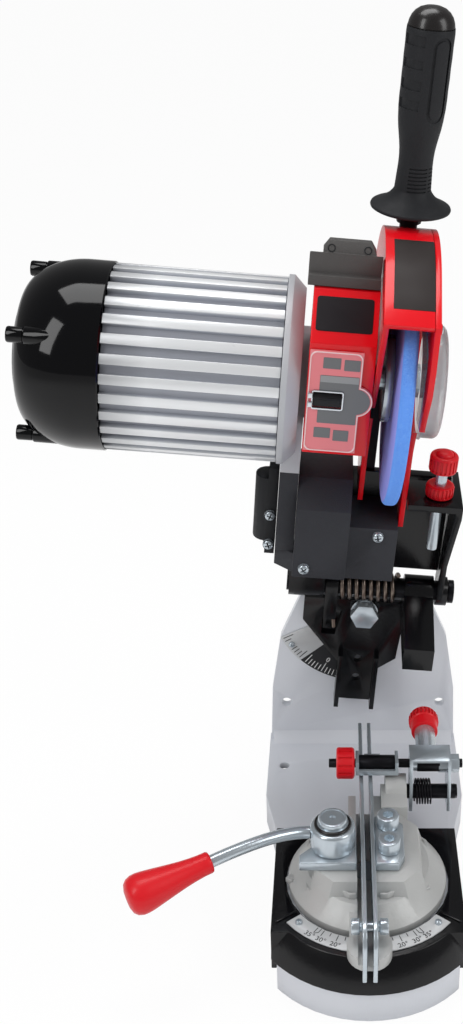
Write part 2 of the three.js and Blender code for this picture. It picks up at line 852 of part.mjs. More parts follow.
function tiltBracket() {
  const outline = [
    [bracketLeftX, bracketTop],
    [bracketLeftX, bracketKneeHeight],
    [channelCentreX - channelHalfWidth, channelTop],
    [channelCentreX - channelHalfWidth, channelBottom],
    [channelCentreX + channelHalfWidth, channelBottom],
    [channelCentreX + channelHalfWidth, channelTop - bracketThickness],
    [bracketRightKneeX, bracketRightKneeHeight],
    [bracketHalfTop, bracketTop],
  ];
  const plate = prism("y", outline, bracketFrontY, bracketBackY);
  const flanges = [-1, 1].map((side) => {
    const outer = channelCentreX + side * channelHalfWidth;
    const inner = outer - side * channelSheet;
    return block(Math.min(outer, inner), Math.max(outer, inner), bracketFrontY - channelDepth,
      bracketFrontY + seatGap, channelBottom, channelTop + channelDepth);
  });
  const ear = prism("x", [
    [bracketBackY, bracketTop - earRadius],
    [bracketBackY, pivotHeight],
    ...arc(pivotY, pivotHeight, earRadius, earBackAngle, 180, smallSides / 2),
    [pivotY - earRadius, bracketTop - earRadius],
  ], leftEarFrom, leftEarTo);
  const holes = [
    bar("y", 0, boltHeight, boltRadius + seatGap, pivotY - overrun, bracketBackY + overrun),
    bar("x", pivotY, pivotHeight, pivotBore, leftEarFrom - overrun, leftEarTo + overrun),
    prism("y", [
      [windowLeft, windowTop],
      [windowLeft, windowBottom],
      [windowRight - windowSlope, windowBottom],
      [windowRight, windowTop],
    ], bracketFrontY - overrun, bracketBackY + overrun),
  ];
  for (const height of [channelUpperHole, channelLowerHole]) {
    holes.push(bar("y", channelCentreX, height, channelHoleRadius, bracketFrontY - overrun,
      bracketBackY + overrun, smallSides));
  }
  return cut(joined(plate, ...flanges, ear), ...holes);
}

function tiltBolt() {
  const washerBack = bracketFrontY - seatGap;
  const headBack = washerBack - washerThickness;
  const nutBack = wallBackY + seatGap + washerThickness + boltHeadHeight;
  return joined(
    bar("y", 0, boltHeight, boltRadius, headBack, nutBack + washerThickness, smallSides),
    bar("y", 0, boltHeight, washerRadius, headBack, washerBack),
    hexBar("y", 0, boltHeight, boltHeadFlat, headBack - boltHeadHeight, headBack),
  );
}

function tiltNut() {
  const seat = wallBackY + seatGap;
  const body = joined(
    bar("y", 0, boltHeight, washerRadius, seat, seat + washerThickness),
    hexBar("y", 0, boltHeight, boltHeadFlat, seat, seat + washerThickness + boltHeadHeight),
  );
  return cut(body, bar("y", 0, boltHeight, boltRadius + seatGap, wallFaceY, seat + boltHeadHeight * 2));
}

// Finger that the depth rod meets when the head is down
function stopFinger() {
  const end = pivotY - depthRodTip - depthContact;
  const outline = [
    ...arc(pivotY, pivotHeight, earRadius, 0, 180, smallSides / 2),
    [end, fingerEndTop],
    [end, fingerEndBottom],
    [bracketFrontY - seatGap, bracketTop - earRadius],
    [bracketFrontY - seatGap, bracketTop + seatGap],
    [bracketBackY, bracketTop + seatGap],
  ];
  const root = end + fingerWeb;
  const hollow = prism("x", [
    [root, fingerEndBottom - overrun],
    [root, fingerEndTop - fingerWeb - overrun],
    [pivotY - earRadius - fingerWeb, bracketTop + fingerWeb],
    [pivotY - earRadius - fingerWeb, bracketTop - earRadius],
    [bracketFrontY - channelDepth - fingerWeb, fingerEndBottom - overrun],
  ], fingerLeft + fingerWeb, fingerRight - fingerWeb);
  const bore = bar("x", pivotY, pivotHeight, pivotBore, fingerLeft - overrun, fingerRight + overrun);
  return cut(prism("x", outline, fingerLeft, fingerRight), hollow, bore);
}

function pivotShaft() {
  return joined(
    bar("x", pivotY, pivotHeight, pivotRadius, pivotLeft, pivotRight),
    bar("x", pivotY, pivotHeight, pivotHeadRadius, pivotRight, pivotRight + pivotHeadLength),
  );
}

add(tilted, "tilt_bracket", tiltBracket(), blackPaint);
add(tilted, "tilt_bolt", tiltBolt(), zincPlate);
add(tilted, "tilt_lock_nut", tiltNut(), zincPlate);
add(tilted, "stop_finger", stopFinger(), blackPaint);
add(tilted, "pivot_shaft", pivotShaft(), blackSteel);
add(tilted, "head_spring", coil("head_spring", pivotY, pivotHeight, springMeanRadius, springWire,
  springTurns, springFrom, springTo, 90), springSteel);

// Head arm, in the head's frame: y is back, z is up the arm, the pivot is at the origin
function headArm() {
  const plate = block(armLeft, armRight, armFront, armBack, armBottom, armTop);
  const ear = prism("x", [
    ...arc(0, 0, earRadius, 180, 360, smallSides / 2),
    [armBack, armBottom + earRadius],
    [-earRadius, armBottom + earRadius],
  ], armEarLeft, armEarInner);
  const bore = bar("x", 0, 0, pivotBore, armEarLeft - overrun, armEarInner + overrun);
  return cut(joined(plate, ear), bore);
}

// Bent plate on the right: it has the right pivot ear and carries the depth rod
function depthBracket() {
  const sideLeft = armRight + seatGap;
  const sideRight = sideLeft + depthSideThickness;
  const side = prism("x", [
    ...arc(0, 0, earRadius, 180, 360, smallSides / 2),
    [earRadius, armBottom],
    [armBack, armTop],
    [armBack, depthPlateTop],
    [-depthPlateFront, depthPlateTop],
    [-depthPlateFront, depthPlateTop - 2 * depthPlateThickness],
    [-earRadius, armBottom + earRadius],
  ], sideLeft, sideRight);
  const boss = bar("x", 0, 0, earRadius, sideLeft, depthEarTo);
  const shelf = block(depthPlateLeft, sideRight, -depthPlateFront, -depthPlateBack,
    depthPlateTop - depthPlateThickness, depthPlateTop);
  const gusset = prism("y", [
    [sideLeft, depthPlateTop - depthPlateThickness],
    [sideLeft, depthPlateTop - 4 * depthPlateThickness],
    [sideLeft - 3 * depthPlateThickness, depthPlateTop - depthPlateThickness],
  ], -depthPlateBack - depthPlateThickness, -depthPlateBack);
  return cut(
    joined(side, boss, shelf, gusset),
    bar("x", 0, 0, pivotBore, sideLeft - overrun, depthEarTo + overrun),
    bar("z", depthX, -spindleForward, depthRodRadius + seatGap, depthPlateTop - 5 * depthPlateThickness,
      depthPlateTop + overrun, smallSides),
  );
}

const armCoverRight = guardRight - guardSheet - slideGap;

function armCoverForm(inset) {
  const low = armCoverBottom + inset;
  const front = -(armCoverFront - inset);
  const openBack = armFront - seatGap + (inset > 0 ? overrun + seatGap : 0);
  const main = prism("x", [
    [openBack, low],
    [openBack, armCoverTop - inset],
    [-(armCoverTopFront - inset), armCoverTop - inset],
    [front, armCoverFold],
    [front, low],
  ], armCoverLeft + inset, armCoverStep - inset);
  const step = block(armCoverStep - 2 * inset - moulding, armCoverRight - inset, -(armCoverStepFront - inset),
    openBack, armCoverStepBottom + inset, armCoverStepTop - inset);
  const wing = prism("z", [
    [armCoverWing + inset, openBack],
    [armCoverWing + inset, -(armCoverWingFront - inset)],
    [armCoverLeft + inset, -(armCoverTopFront - inset)],
    [armCoverLeft + inset + moulding, openBack],
  ], armCoverWingBottom + inset, armCoverFold - inset);
  return joined(main, step, wing);
}

const coverScrewSpots = [
  [0, armCoverStepFront, (armCoverStepBottom + armCoverStepTop) / 2 + coverScrewRadius * 4],
  [armCoverLeft + coverScrewRadius * 2, armCoverFront, armCoverBottom + coverScrewRadius * 2],
];
const bellArmRight = armLeft - seatGap;

function armCover() {
  const beside = block(bellArmLeft - seatGap, bellArmRight + seatGap,
    -spindleForward - bellArmFront - seatGap, armBack, bellArmLow - seatGap, spindleHeight);
  const screws = coverScrewSpots.map(([x, front, height]) => bar("y", x, height, coverScrewRadius,
    -front - coverScrewHead, -front + moulding / 2, smallSides));
  return joined(cut(armCoverForm(0), armCoverForm(moulding), beside), ...screws);
}

// Clamp that holds the lead where it enters beside the motor
const clampScrewShares = [0.12, 0.47];

function cableClamp() {
  const body = block(clampLeft + clampHump, clampRight, -clampFront, -clampBack, clampBottom, clampTop);
  const middle = -(clampFront + clampBack) / 2;
  const hump = prism("z", arc(clampLeft + clampHump, middle, clampHump, 90, 270, smallSides / 2),
    clampBottom + clampHump, clampTop - clampHump);
  const sill = block(clampLeft + clampHump - seatGap, clampLeft + clampHump + overrun, middle - clampHump,
    middle + clampHump, clampBottom + clampHump, clampTop - clampHump);
  const screws = clampScrewShares.map((share) => bar("y", clampRight - coverScrewRadius - seatGap,
    clampBottom + (clampTop - clampBottom) * share, coverScrewRadius, -clampFront - coverScrewHead,
    -clampFront + moulding, smallSides));
  return joined(body, hump, sill, ...screws);
}

function depthRod() {
  return bar("z", depthX, -spindleForward, depthRodRadius, depthRodTip, depthRodTop, smallSides);
}

function depthKnob() {
  const top = depthKnobBottom + depthKnobHeight;
  return cut(
    knurledBar("z", depthX, -spindleForward, knurlRadius, depthKnobBottom, top),
    bar("z", depthX, -spindleForward, depthRodRadius + seatGap, depthKnobBottom - overrun, top + overrun,
      smallSides),
  );
}

function depthLockKnob() {
  const bottom = depthPlateTop + seatGap;
  return cut(
    knurledBar("z", depthX, -spindleForward, knurlRadius, bottom, bottom + depthLockHeight),
    bar("z", depthX, -spindleForward, depthRodRadius + seatGap, bottom - overrun,
      bottom + depthLockHeight + overrun, smallSides),
  );
}

add(head, "head_arm", headArm(), blackPaint);
add(head, "depth_bracket", depthBracket(), blackPaint);
add(head, "arm_cover", armCover(), charcoal);
add(head, "cable_clamp", cableClamp(), softBlack);
add(head, "depth_rod", depthRod(), zincPlate);
add(head, "depth_knob", depthKnob(), redPlastic);
add(head, "depth_lock_knob", depthLockKnob(), redPlastic);

// Motor and wheel, in the spindle's frame: its axis is the x axis
function endBell() {
  const rim = turned("x", [
    [0, bellLeft],
    [bellRadius, bellLeft],
    [bellRadius, bellRight - bellChamfer],
    [bellRadius - bellChamfer, bellRight],
    [0, bellRight],
  ], 16);
  const hollow = bar("x", 0, 0, tubeBoreRadius, bellLeft - overrun, bellRight - bellWall);
  const nose = bar("x", 0, 0, noseRadius, bellRight - bellWall, noseTo);
  const arm = prism("x", [
    [-bellArmFront, 0],
    [-bellArmFront, bellArmBottom + bellArmFront],
    [-bellArmFront / 2, bellArmBottom],
    [-bellArmBack, bellArmBottom],
    [-bellArmBack, 0],
  ], bellArmLeft, bellArmRight);
  return cut(
    joined(cut(rim, hollow), arm, nose),
    bar("x", 0, 0, shaftRadius + slideGap, bellLeft - overrun, noseTo + overrun),
    bar("x", 0, 0, bearingOuter + seatGap, bellLeft - overrun, bellRight - bellWall + bearingWidth),
    bar("x", 0, 0, tubeBoreRadius, bellLeft - overrun, bellRight - bellWall),
  );
}

function motorTube() {
  const outline = [];
  const step = 360 / finCount;
  for (let i = 0; i < finCount; i += 1) {
    const middle = i * step;
    const half = (step * finWidthShare) / 2;
    for (const [radius, angle] of [
      [finRootRadius, middle - half],
      [finOuterRadius, middle - half],
      [finOuterRadius, middle + half],
      [finRootRadius, middle + half],
    ]) {
      const turn = THREE.MathUtils.degToRad(angle);
      outline.push([radius * Math.cos(turn), radius * Math.sin(turn)]);
    }
  }
  return prism("x", outline, tubeLeft, bellLeft - seatGap, [circle(0, 0, tubeBoreRadius, roundSides)]);
}

function bearing(from) {
  return ring("x", 0, 0, bearingOuter, shaftRadius + seatGap, from, from + bearingWidth, smallSides);
}

// Dome at the motor's end, with four screw pegs that stand out of it
function domeCap() {
  const start = tubeLeft - seatGap;
  const skirtEnd = start - domeSkirt;
  function profile(inset) {
    const points = [[0, start + (inset > 0 ? overrun : 0)]];
    points.push([domeRadius - inset, start + (inset > 0 ? overrun : 0)]);
    const depth = skirtEnd - domeEnd - inset;
    const flat = domeFlatRadius - inset;
    for (let i = 0; i <= domeSteps; i += 1) {
      const angle = (Math.PI / 2) * (i / domeSteps);
      points.push([flat + (domeRadius - inset - flat) * Math.cos(angle), skirtEnd - depth * Math.sin(angle)]);
    }
    points.push([0, domeEnd + inset]);
    return points;
  }
  const pegs = [];
  for (let i = 0; i < 4; i += 1) {
    const turn = THREE.MathUtils.degToRad(pegAngle + 90 * i);
    const [back, up] = [-pegCircle * Math.sin(turn), pegCircle * Math.cos(turn)];
    pegs.push(bar("x", back, up, pegRadius, pegStep, start - domeWall, smallSides));
    pegs.push(bar("x", back, up, pegTipRadius, pegEnd, pegStep + seatGap, smallSides));
  }
  const seatBore = ring("x", 0, 0, bearingOuter + domeWall, bearingOuter + seatGap, domeEnd + domeWall / 2,
    rearBearingX + bearingWidth);
  const hollow = turned("x", profile(domeWall), roundSides);
  const shell = cut(turned("x", profile(0), roundSides), hollow);
  return joined(shell, ...pegs, seatBore);
}

function rotorShaft() {
  const tip = wheelX + wheelThickness / 2 + outerFlangeThickness + nutHeight + 2 * seatGap;
  return bar("x", 0, 0, shaftRadius, shaftLeft, tip, smallSides);
}

const wheelLeft = wheelX - wheelThickness / 2;
const wheelRight = wheelX + wheelThickness / 2;

function grindingWheel() {
  const face = wheelRadius - wheelChamfer;
  return turned("x", [
    [wheelBore, wheelLeft],
    [face, wheelLeft],
    [wheelRadius, wheelLeft + wheelChamfer],
    [wheelRadius, wheelRight - wheelChamfer],
    [face, wheelRight],
    [wheelBore, wheelRight],
  ], roundSides * 2);
}

function innerFlange() {
  const right = wheelLeft - seatGap;
  return ring("x", 0, 0, innerFlangeRadius, wheelBore, right - innerFlangeThickness, right);
}

function outerFlange() {
  const left = wheelRight + seatGap;
  return ring("x", 0, 0, outerFlangeRadius, wheelBore, left, left + outerFlangeThickness);
}

function spindleNut() {
  const left = wheelRight + outerFlangeThickness + 2 * seatGap;
  return cut(hexBar("x", 0, 0, nutFlat, left, left + nutHeight),
    bar("x", 0, 0, wheelBore, left - overrun, left + nutHeight + overrun, smallSides));
}

add(spindle, "end_bell", endBell(), greyPaint);
add(spindle, "motor_tube", motorTube(), finnedAluminium);
add(spindle, "stator", ring("x", 0, 0, statorOuter, statorInner, statorFrom, statorTo), copper);
add(spindle, "front_bearing", bearing(bellRight - bellWall), zincPlate);
add(spindle, "rear_bearing", bearing(rearBearingX), zincPlate);
add(spindle, "dome_cap", domeCap(), blackGloss);
add(spindle, "rotor_shaft", rotorShaft(), zincPlate);
const rotorCore = ring("x", 0, 0, rotorRadius, shaftRadius + seatGap, statorFrom, statorTo);
add(spindle, "rotor_core", rotorCore, zincPlate);
add(spindle, "inner_flange", innerFlange(), zincPlate);
add(spindle, "grinding_wheel", grindingWheel(), abrasive);
add(spindle, "outer_flange", outerFlange(), scaleSilver);
add(spindle, "spindle_nut", spindleNut(), zincPlate);

// Guards, drawn in the y-z plane; forward is -y, so angles run from the front over the top.
// The arc ends in a flat front panel that leaves it without a kink
function guardArc(radius, steps) {
  const turn = THREE.MathUtils.degToRad(guardFrontAngle);
  const front = radius * Math.cos(turn) + guardPanel * Math.sin(turn);
  const height = radius * Math.sin(turn) - guardPanel * Math.cos(turn);
  return [[-front, height], ...arc(0, 0, radius, 180 - guardFrontAngle, 180 - guardBackAngle, steps)];
}

const innerEdgeShares = [[0.66, 0.5], [0.5, 0.2], [0.26, -0.12], [0.1, -0.5]];
const outerEdgeShares = [
  [0.79, 0.61], [0.82, 0.46], [0.8, 0.27], [0.7, 0.1], [0.62, -0.06], [0.24, -0.14], [0.1, -0.5],
];
const armEdgeY = spindleForward - slideGap;
const armEdgeHeight = armTop - spindleHeight + slideGap;

// A side wall: the tip hangs in front of the arm, and a notch passes over the arm's top
function guardSide(edgeShares, tip, from, to) {
  const front = edgeShares.toReversed().map(([f, h]) => [-guardRadius * f, guardRadius * h]);
  return prism("x", [
    ...guardArc(guardRadius, roundSides),
    [armEdgeY + notchBack, armEdgeHeight],
    [armEdgeY, armEdgeHeight],
    [armEdgeY, tip + tipFront],
    [armEdgeY - tipFront, tip],
    [-tipFront, tip],
    ...front,
  ], from, to);
}

function guardRim(from, to) {
  const [outer, inner] = [guardArc(guardRadius, roundSides), guardArc(guardRadius - guardSheet, roundSides)];
  return prism("x", [...outer, ...inner.toReversed()], from, to);
}

function innerGuard() {
  return cut(
    joined(
      guardSide(innerEdgeShares, innerTip, guardLeft, guardLeft + guardSheet),
      guardRim(guardLeft, guardSplit),
    ),
    bar("x", 0, 0, innerFlangeRadius + slideGap, guardLeft - overrun, guardLeft + guardSheet + overrun),
    bar("z", 0, handleBack, studRadius + seatGap, guardRadius / 2, guardRadius + overrun, smallSides),
  );
}

const guardScrewShares = [[-0.55, 0.62], [0.35, 0.72], [0.55, -0.45]];

function outerGuard() {
  const left = guardSplit + seatGap;
  const screws = guardScrewShares.map(([back, up]) => bar("x", guardRadius * back, guardRadius * up,
    guardScrewRadius, guardRight - guardSheet, guardRight + guardScrewHead, smallSides));
  const shell = cut(
    guardSide(outerEdgeShares, outerTip, left, guardRight),
    bar("x", 0, 0, guardHoleRadius, left - overrun, guardRight + overrun),
  );
  return joined(shell, ...screws);
}

function guardCap() {
  const seat = guardRight + seatGap;
  const [rim, crown] = [capRadius, capRadius - capWall * 3];
  const outer = turned("x", [
    [0, seat], [rim, seat], [rim, seat + capDepth / 2], [crown, seat + capDepth], [0, seat + capDepth],
  ]);
  const inner = turned("x", [
    [0, seat - overrun],
    [rim - capWall, seat - overrun],
    [rim - capWall, seat + capDepth / 2 - capWall / 2],
    [crown - capWall / 2, seat + capDepth - capWall],
    [0, seat + capDepth - capWall],
  ]);
  return cut(outer, inner);
}

add(spindle, "inner_guard", innerGuard(), redPaint);
add(spindle, "outer_guard", outerGuard(), redPaint);
add(spindle, "guard_cap", guardCap(), clearSmoke);

// Handle: a stud through the guard's rim and a moulded grip over it
function handleStud() {
  const low = Math.sqrt((guardRadius - guardSheet) ** 2 - handleBack ** 2) - guardSheet;
  return joined(
    bar("z", 0, handleBack, studRadius, low, studTop, smallSides),
    bar("z", 0, handleBack, neckRadius, rimTop + guardSheet + seatGap, neckTop, smallSides),
  );
}

const gripShares = [
  [1, 0], [1, 0.02], [0.7, 0.06], [0.5, 0.12], [0.42, 0.19], [0.41, 0.26], [0.48, 0.36],
  [0.55, 0.48], [0.57, 0.62], [0.57, 0.86], [0.5, 0.96], [0.28, 1],
];

function handleGrip() {
  const bottom = neckTop + seatGap;
  const length = gripTop - bottom;
  const points = gripShares.map(([radius, along]) => [gripRadius(radius), bottom + length * along]);
  const bore = studRadius + seatGap;
  const socket = studTop + seatGap;
  const profile = [[bore, bottom], ...points, [0, gripTop], [0, socket], [bore, socket]];
  const grip = turned("z", profile, roundSides);
  return grip.translate([0, handleBack, 0]);
}

// The waist and the barrel keep their own sizes; the shares only shape the way between them
function gripRadius(share) {
  if (share <= 0.42) return share < 0.4 ? gripFlangeRadius * share : gripWaistRadius;
  if (share >= 0.57 && share < 0.6) return gripBarrelRadius;
  return gripFlangeRadius * share;
}

add(spindle, "handle_stud", handleStud(), blackSteel);
add(spindle, "handle_grip", handleGrip(), softBlack);

// Switch cover: a folded front box between the motor and the guard
const switchLeft = bellArmRight + seatGap;

function switchForm(inset, left, right) {
  const open = inset > 0 ? overrun : 0;
  return prism("x", [
    [-switchBack + open, switchBottom + inset],
    [-(switchFront - inset), switchBottom + inset],
    [-(switchFront - inset), switchFold - inset / 2],
    [-(switchTopFront - inset / 2), switchTop - inset],
    [-switchBack + open, switchTop - inset],
  ], left + inset, right - inset);
}

function switchCover() {
  const gap = slideGap;
  const opening = block(rockerLeft - gap, rockerRight + gap,
    -switchFront - overrun, -switchFront + moulding * 2,
    rockerHeight - rockerHalfHeight - gap, rockerHeight + rockerHalfHeight + gap);
  const around = bar("x", 0, 0, noseRadius + seatGap, switchLeft - overrun, switchRight + overrun);
  return cut(switchForm(0, switchLeft, switchRight), switchForm(moulding, switchLeft, switchRight),
    opening, around);
}

function switchBezel() {
  const back = -switchFront - seatGap;
  const front = back - bezelThickness;
  const plate = prism("y", [
    [bezelLeft, bezelBottom], [bezelRight, bezelBottom], [bezelRight, bezelTop], [bezelLeft, bezelTop],
  ], front, back);
  const lobe = bar("y", lobeX, lobeHeight, lobeRadius, front, back);
  const gap = slideGap;
  const opening = block(rockerLeft - gap, rockerRight + gap, front - overrun, back + overrun,
    rockerHeight - rockerHalfHeight - gap, rockerHeight + rockerHalfHeight + gap);
  return cut(joined(plate, lobe), opening);
}

// Rocker with two slopes and a hub on its own axis
function switchToggle() {
  const face = -switchFront;
  const [low, high] = [rockerHeight - rockerHalfHeight, rockerHeight + rockerHalfHeight];
  return prism("x", [
    [face + rockerBack, rockerHeight - rockerHalfHeight / 2],
    [face + rockerBack, rockerHeight + rockerHalfHeight / 2],
    [face, high - slideGap],
    [face - rockerPeak, high - rockerHalfHeight / 2],
    [face - rockerPeak / 2, rockerHeight],
    [face - rockerPeak / 2, low + slideGap],
    [face, low + slideGap],
  ], rockerLeft, rockerRight);
}

function lampHousing() {
  function form(inset) {
    const base = lampBottom - (inset > 0 ? overrun : 0);
    const body = prism("x", [
      [-lampBack - inset, base],
      [-lampBack - inset, lampBackTop - inset],
      [-(lampFront - inset), lampTop - inset],
      [-(lampFront - inset), lampLipTop],
      [-(lampLip - inset), lampLipTop - inset],
      [-(lampLip - inset), base],
    ], lampLeft + inset, lampRight - inset);
    const top = lampCapTop - inset;
    const low = [
      [lampCapLeft + inset, -lampCapFront + inset], [lampCapRight - inset, -lampCapFront + inset],
      [lampCapRight - inset, -lampCapBack - inset], [lampCapLeft + inset, -lampCapBack - inset],
    ];
    const taper = lampCapTaper;
    const high = [
      [low[0][0] + taper, low[0][1] + taper], [low[1][0] - taper, low[1][1] + taper],
      [low[2][0] - taper, low[2][1] - taper], [low[3][0] + taper, low[3][1] - taper],
    ];
    const cap = lofted([
      { height: lampCapLow, points: low },
      { height: lampTop - inset, points: low },
      { height: top, points: high },
    ]);
    return joined(body, cap);
  }
  return cut(form(0), form(moulding));
}

function lampBulb() {
  const middle = -(lampFront + lampBack) / 2;
  const height = lampBottom + bulbRadius + slideGap;
  const left = lampLeft + moulding + seatGap;
  const neck = left + bulbRadius * 2;
  const end = lampRight - moulding - slideGap;
  return joined(
    bar("x", middle, height, bulbRadius * bulbNeckShare, left, neck, smallSides),
    bar("x", middle, height, bulbRadius, neck - seatGap, end, smallSides),
  );
}

add(spindle, "switch_cover", switchCover(), redPaint);
add(spindle, "switch_bezel", switchBezel(), clearPink);
add(spindle, "switch_toggle", switchToggle(), softBlack);
add(spindle, "lamp_housing", lampHousing(), lampGrey);
add(spindle, "lamp_bulb", lampBulb(), bulbGlass);

// Vise: a cast turntable with a slot for the rails and bosses at its front and rear
const railInner = railGap / 2;
const railOuter = railInner + railThickness;
const plateBottom = platformTop + seatGap;
const plateTop = plateBottom + plateThickness;

function turntable() {
  const frontBossBottom = coverTop + seatGap + scaleThickness + scaleScrewHeight + slideGap;
  const dish = turned("z", [
    [0, turntableBottom],
    [turntableRadius, turntableBottom],
    [turntableRadius, turntableRim],
    [domeTopRadius, domeTopHeight],
    [0, domeTopHeight],
  ], roundSides * 2);
  const spread = platformSlope;
  const corner = platformHalfX / 3;
  function octagon(grow) {
    const [x, back, front] = [platformHalfX + grow, platformBackY + grow, platformFrontY - grow];
    return [
      [x, front + corner], [x, back - corner], [x - corner, back], [-x + corner, back],
      [-x, back - corner], [-x, front + corner], [-x + corner, front], [x - corner, front],
    ];
  }
  const platform = lofted([
    { height: turntableRim, points: octagon(spread) },
    { height: platformTop, points: octagon(0) },
  ]);
  const frontArm = block(-armHalfWidth, armHalfWidth, frontBossY, platformFrontY, turntableRim, frontBossTop);
  const frontBoss = bar("z", 0, frontBossY, frontBossRadius, frontBossBottom, frontBossTop);
  const rearArm = block(-armHalfWidth, armHalfWidth, platformBackY - spread, rearBossTo,
    turntableRim, rearBossTop);
  const stopBoss = bar("x", stopPinY, stopPinHeight, stopBossRadius, stopBossFrom, stopBossTo);
  const web = block(armHalfWidth - overrun, stopBossTo, rearBossFrom, stopPinY, turntableRim + overrun,
    stopPinHeight + stopBossRadius / 2);
  const slot = block(slotLeft, railOuter + seatGap, railNoseY - overrun, railBackY + overrun, slotBottom,
    railTop + overrun);
  const railRoom = block(slotLeft, railOuter + seatGap, frontBossY - frontBossRadius - overrun,
    frontBossY - frontBossRadius + slideGap, railLipBottom - overrun, railTop);
  const nutPocket = bar("z", 0, 0, viseBoltHeadRadius + slideGap, viseBoltHeadBottom - seatGap,
    platformTop + overrun, smallSides);
  const shank = bar("z", 0, 0, viseBoltRadius + slideGap, turntableBottom - overrun, platformTop, smallSides);
  const pinBore = bar("x", stopPinY, stopPinHeight, stopPinRadius + seatGap, stopBossFrom + overrun,
    stopBossTo + overrun);
  return cut(joined(dish, platform, frontArm, frontBoss, rearArm, stopBoss, web), slot, railRoom, nutPocket,
    shank, pinBore);
}

// Side of a rail: a bar with a round nose that hooks over the front boss and a thin tail
function railOutline() {
  const bossFront = frontBossY - frontBossRadius - seatGap;
  const noseRadius = (frontBossY - railNoseY) * railNoseShare;
  return [
    ...arc(railNoseY + noseRadius, railTop - noseRadius, noseRadius, 180, 90, 5),
    [railBackY, railTop],
    [railBackY, railTailBottom],
    [railTailY, railTailBottom],
    [railTailY - (railTailBottom - railBottom), railBottom],
    [bossFront, railBottom],
    [bossFront, railLipBottom],
    [railNoseY, railLipBottom],
  ];
}

function rail(from) {
  return cut(
    prism("x", railOutline(), from, from + railThickness),
    bar("x", guidePinY, guidePinHeight, guidePinRadius + seatGap, from - overrun,
      from + railThickness + overrun, smallSides),
  );
}

function guidePin() {
  const reach = railOuter + seatGap + railOpening;
  return joined(
    bar("x", guidePinY, guidePinHeight, guidePinRadius, -reach, reach, smallSides),
    bar("x", guidePinY, guidePinHeight, guidePinHeadRadius, -reach - guidePinHeadLength, -reach, smallSides),
    bar("x", guidePinY, guidePinHeight, guidePinHeadRadius, reach, reach + guidePinHeadLength, smallSides),
  );
}

function clampPlate() {
  const right = slotLeft - seatGap;
  return prism("z", [
    [clampPlateLeft, plateFrontY],
    [right, plateFrontY],
    [right, plateBackY],
    [clampPlateLeft + plateCorner * 2, plateBackY],
    [clampPlateLeft + plateCorner, plateBackY - plateCorner],
    [clampPlateLeft + plateCorner, plateFrontY + plateCorner * 2],
    [clampPlateLeft, plateFrontY + plateCorner],
  ], plateBottom, plateTop);
}

function backingPlate() {
  const left = railOuter + seatGap;
  return prism("z", [
    [left, plateFrontY],
    [backingRight - plateCorner / 2, plateFrontY],
    [backingRight, plateFrontY + plateCorner],
    [backingRight, backingBackY - plateCorner],
    [backingRight - plateCorner, backingBackY],
    [left, backingBackY],
  ], plateBottom, plateTop);
}

function railScrew(y) {
  const seat = plateTop + seatGap;
  return cut(
    bar("z", railScrewX, y, screwHeadRadius, seat, seat + screwHeadHeight, smallSides),
    hexBar("z", railScrewX, y, screwSocketRadius * Math.sqrt(3), seat + screwHeadHeight / 2,
      seat + screwHeadHeight + overrun),
  );
}

add(vise, "turntable", turntable(), castAluminium);
add(vise, "clamp_plate", clampPlate(), zincPlate);
add(vise, "backing_plate", backingPlate(), zincPlate);
add(vise, "rear_rail_screw", railScrew(railScrewRearY), zincPlate);
add(vise, "front_rail_screw", railScrew(railScrewFrontY), zincPlate);
add(vise, "fixed_rail", rail(railInner), zincPlate);
add(vise, "moving_rail", rail(-railOuter), zincPlate);
add(vise, "guide_pin", guidePin(), zincPlate);

// Clamp lever: a hub with a cap, a bent rod and a tapered grip
const hubBottom = plateTop + seatGap;
const hubTop = hubBottom + hubHeight;
const leverHeight = hubBottom + hubHeight * leverHeightShare;
const rodStart = new THREE.Vector3(hubX - hubRadius, hubY, leverHeight);
const rodLead = new THREE.Vector3(hubX - hubRadius - leverRadius * 3, hubY, leverHeight);
const rodBend = new THREE.Vector3(hubX - rodBendReach, hubY - leverRadius * 3, leverHeight + leverRadius * 2);
const rodEnd = new THREE.Vector3(hubX - rodEndReach, hubY - hubRadius * 2, leverHeight + leverRadius / 2);

function clampHub() {
  const body = bar("z", hubX, hubY, hubRadius, hubBottom, hubTop);
  const neck = bar("z", hubX, hubY, hubRadius - leverRadius / 2, hubTop - seatGap, hubTop + leverRadius / 2);
  const cap = bar("z", hubX, hubY, hubCapRadius, hubTop, hubTop + hubCapHeight + leverRadius / 2);
  return joined(body, neck, cap);
}

function clampRod() {
  const start = rodStart.clone().add(new THREE.Vector3(-seatGap, 0, 0));
  const curve = new THREE.CubicBezierCurve3(start, rodLead, rodBend, rodEnd);
  const shape = new THREE.Shape(circle(0, 0, leverRadius, 12).map(([a, b]) => new THREE.Vector2(a, b)));
  return solidOf(new THREE.ExtrudeGeometry(shape, { steps: 8, bevelEnabled: false, extrudePath: curve }));
}

const leverGripShares = [
  [0.9, 0], [1, 0.03], [1.05, 0.15], [1.35, 0.4], [1.75, 0.68], [1.85, 0.82], [1.6, 0.94], [0.9, 1],
];

function clampGrip() {
  const along = new THREE.Vector3().subVectors(rodEnd, rodBend).normalize();
  const widest = Math.max(...leverGripShares.map(([radius]) => radius));
  const points = leverGripShares.map(([radius, place]) => {
    const grown = gripSmallRadius + ((radius - 1) / (widest - 1)) * (gripLargeRadius - gripSmallRadius);
    return [radius <= 1 ? gripSmallRadius * radius : grown, gripLength * place];
  });
  const grip = turned("z", [[0, 0], ...points, [0, gripLength]], 24);
  const turn = new THREE.Quaternion().setFromUnitVectors(new THREE.Vector3(0, 0, 1), along);
  const place = rodEnd.clone().addScaledVector(along, seatGap);
  const matrix = new THREE.Matrix4().compose(place, turn, new THREE.Vector3(1, 1, 1));
  return grip.transform(matrix.elements);
}

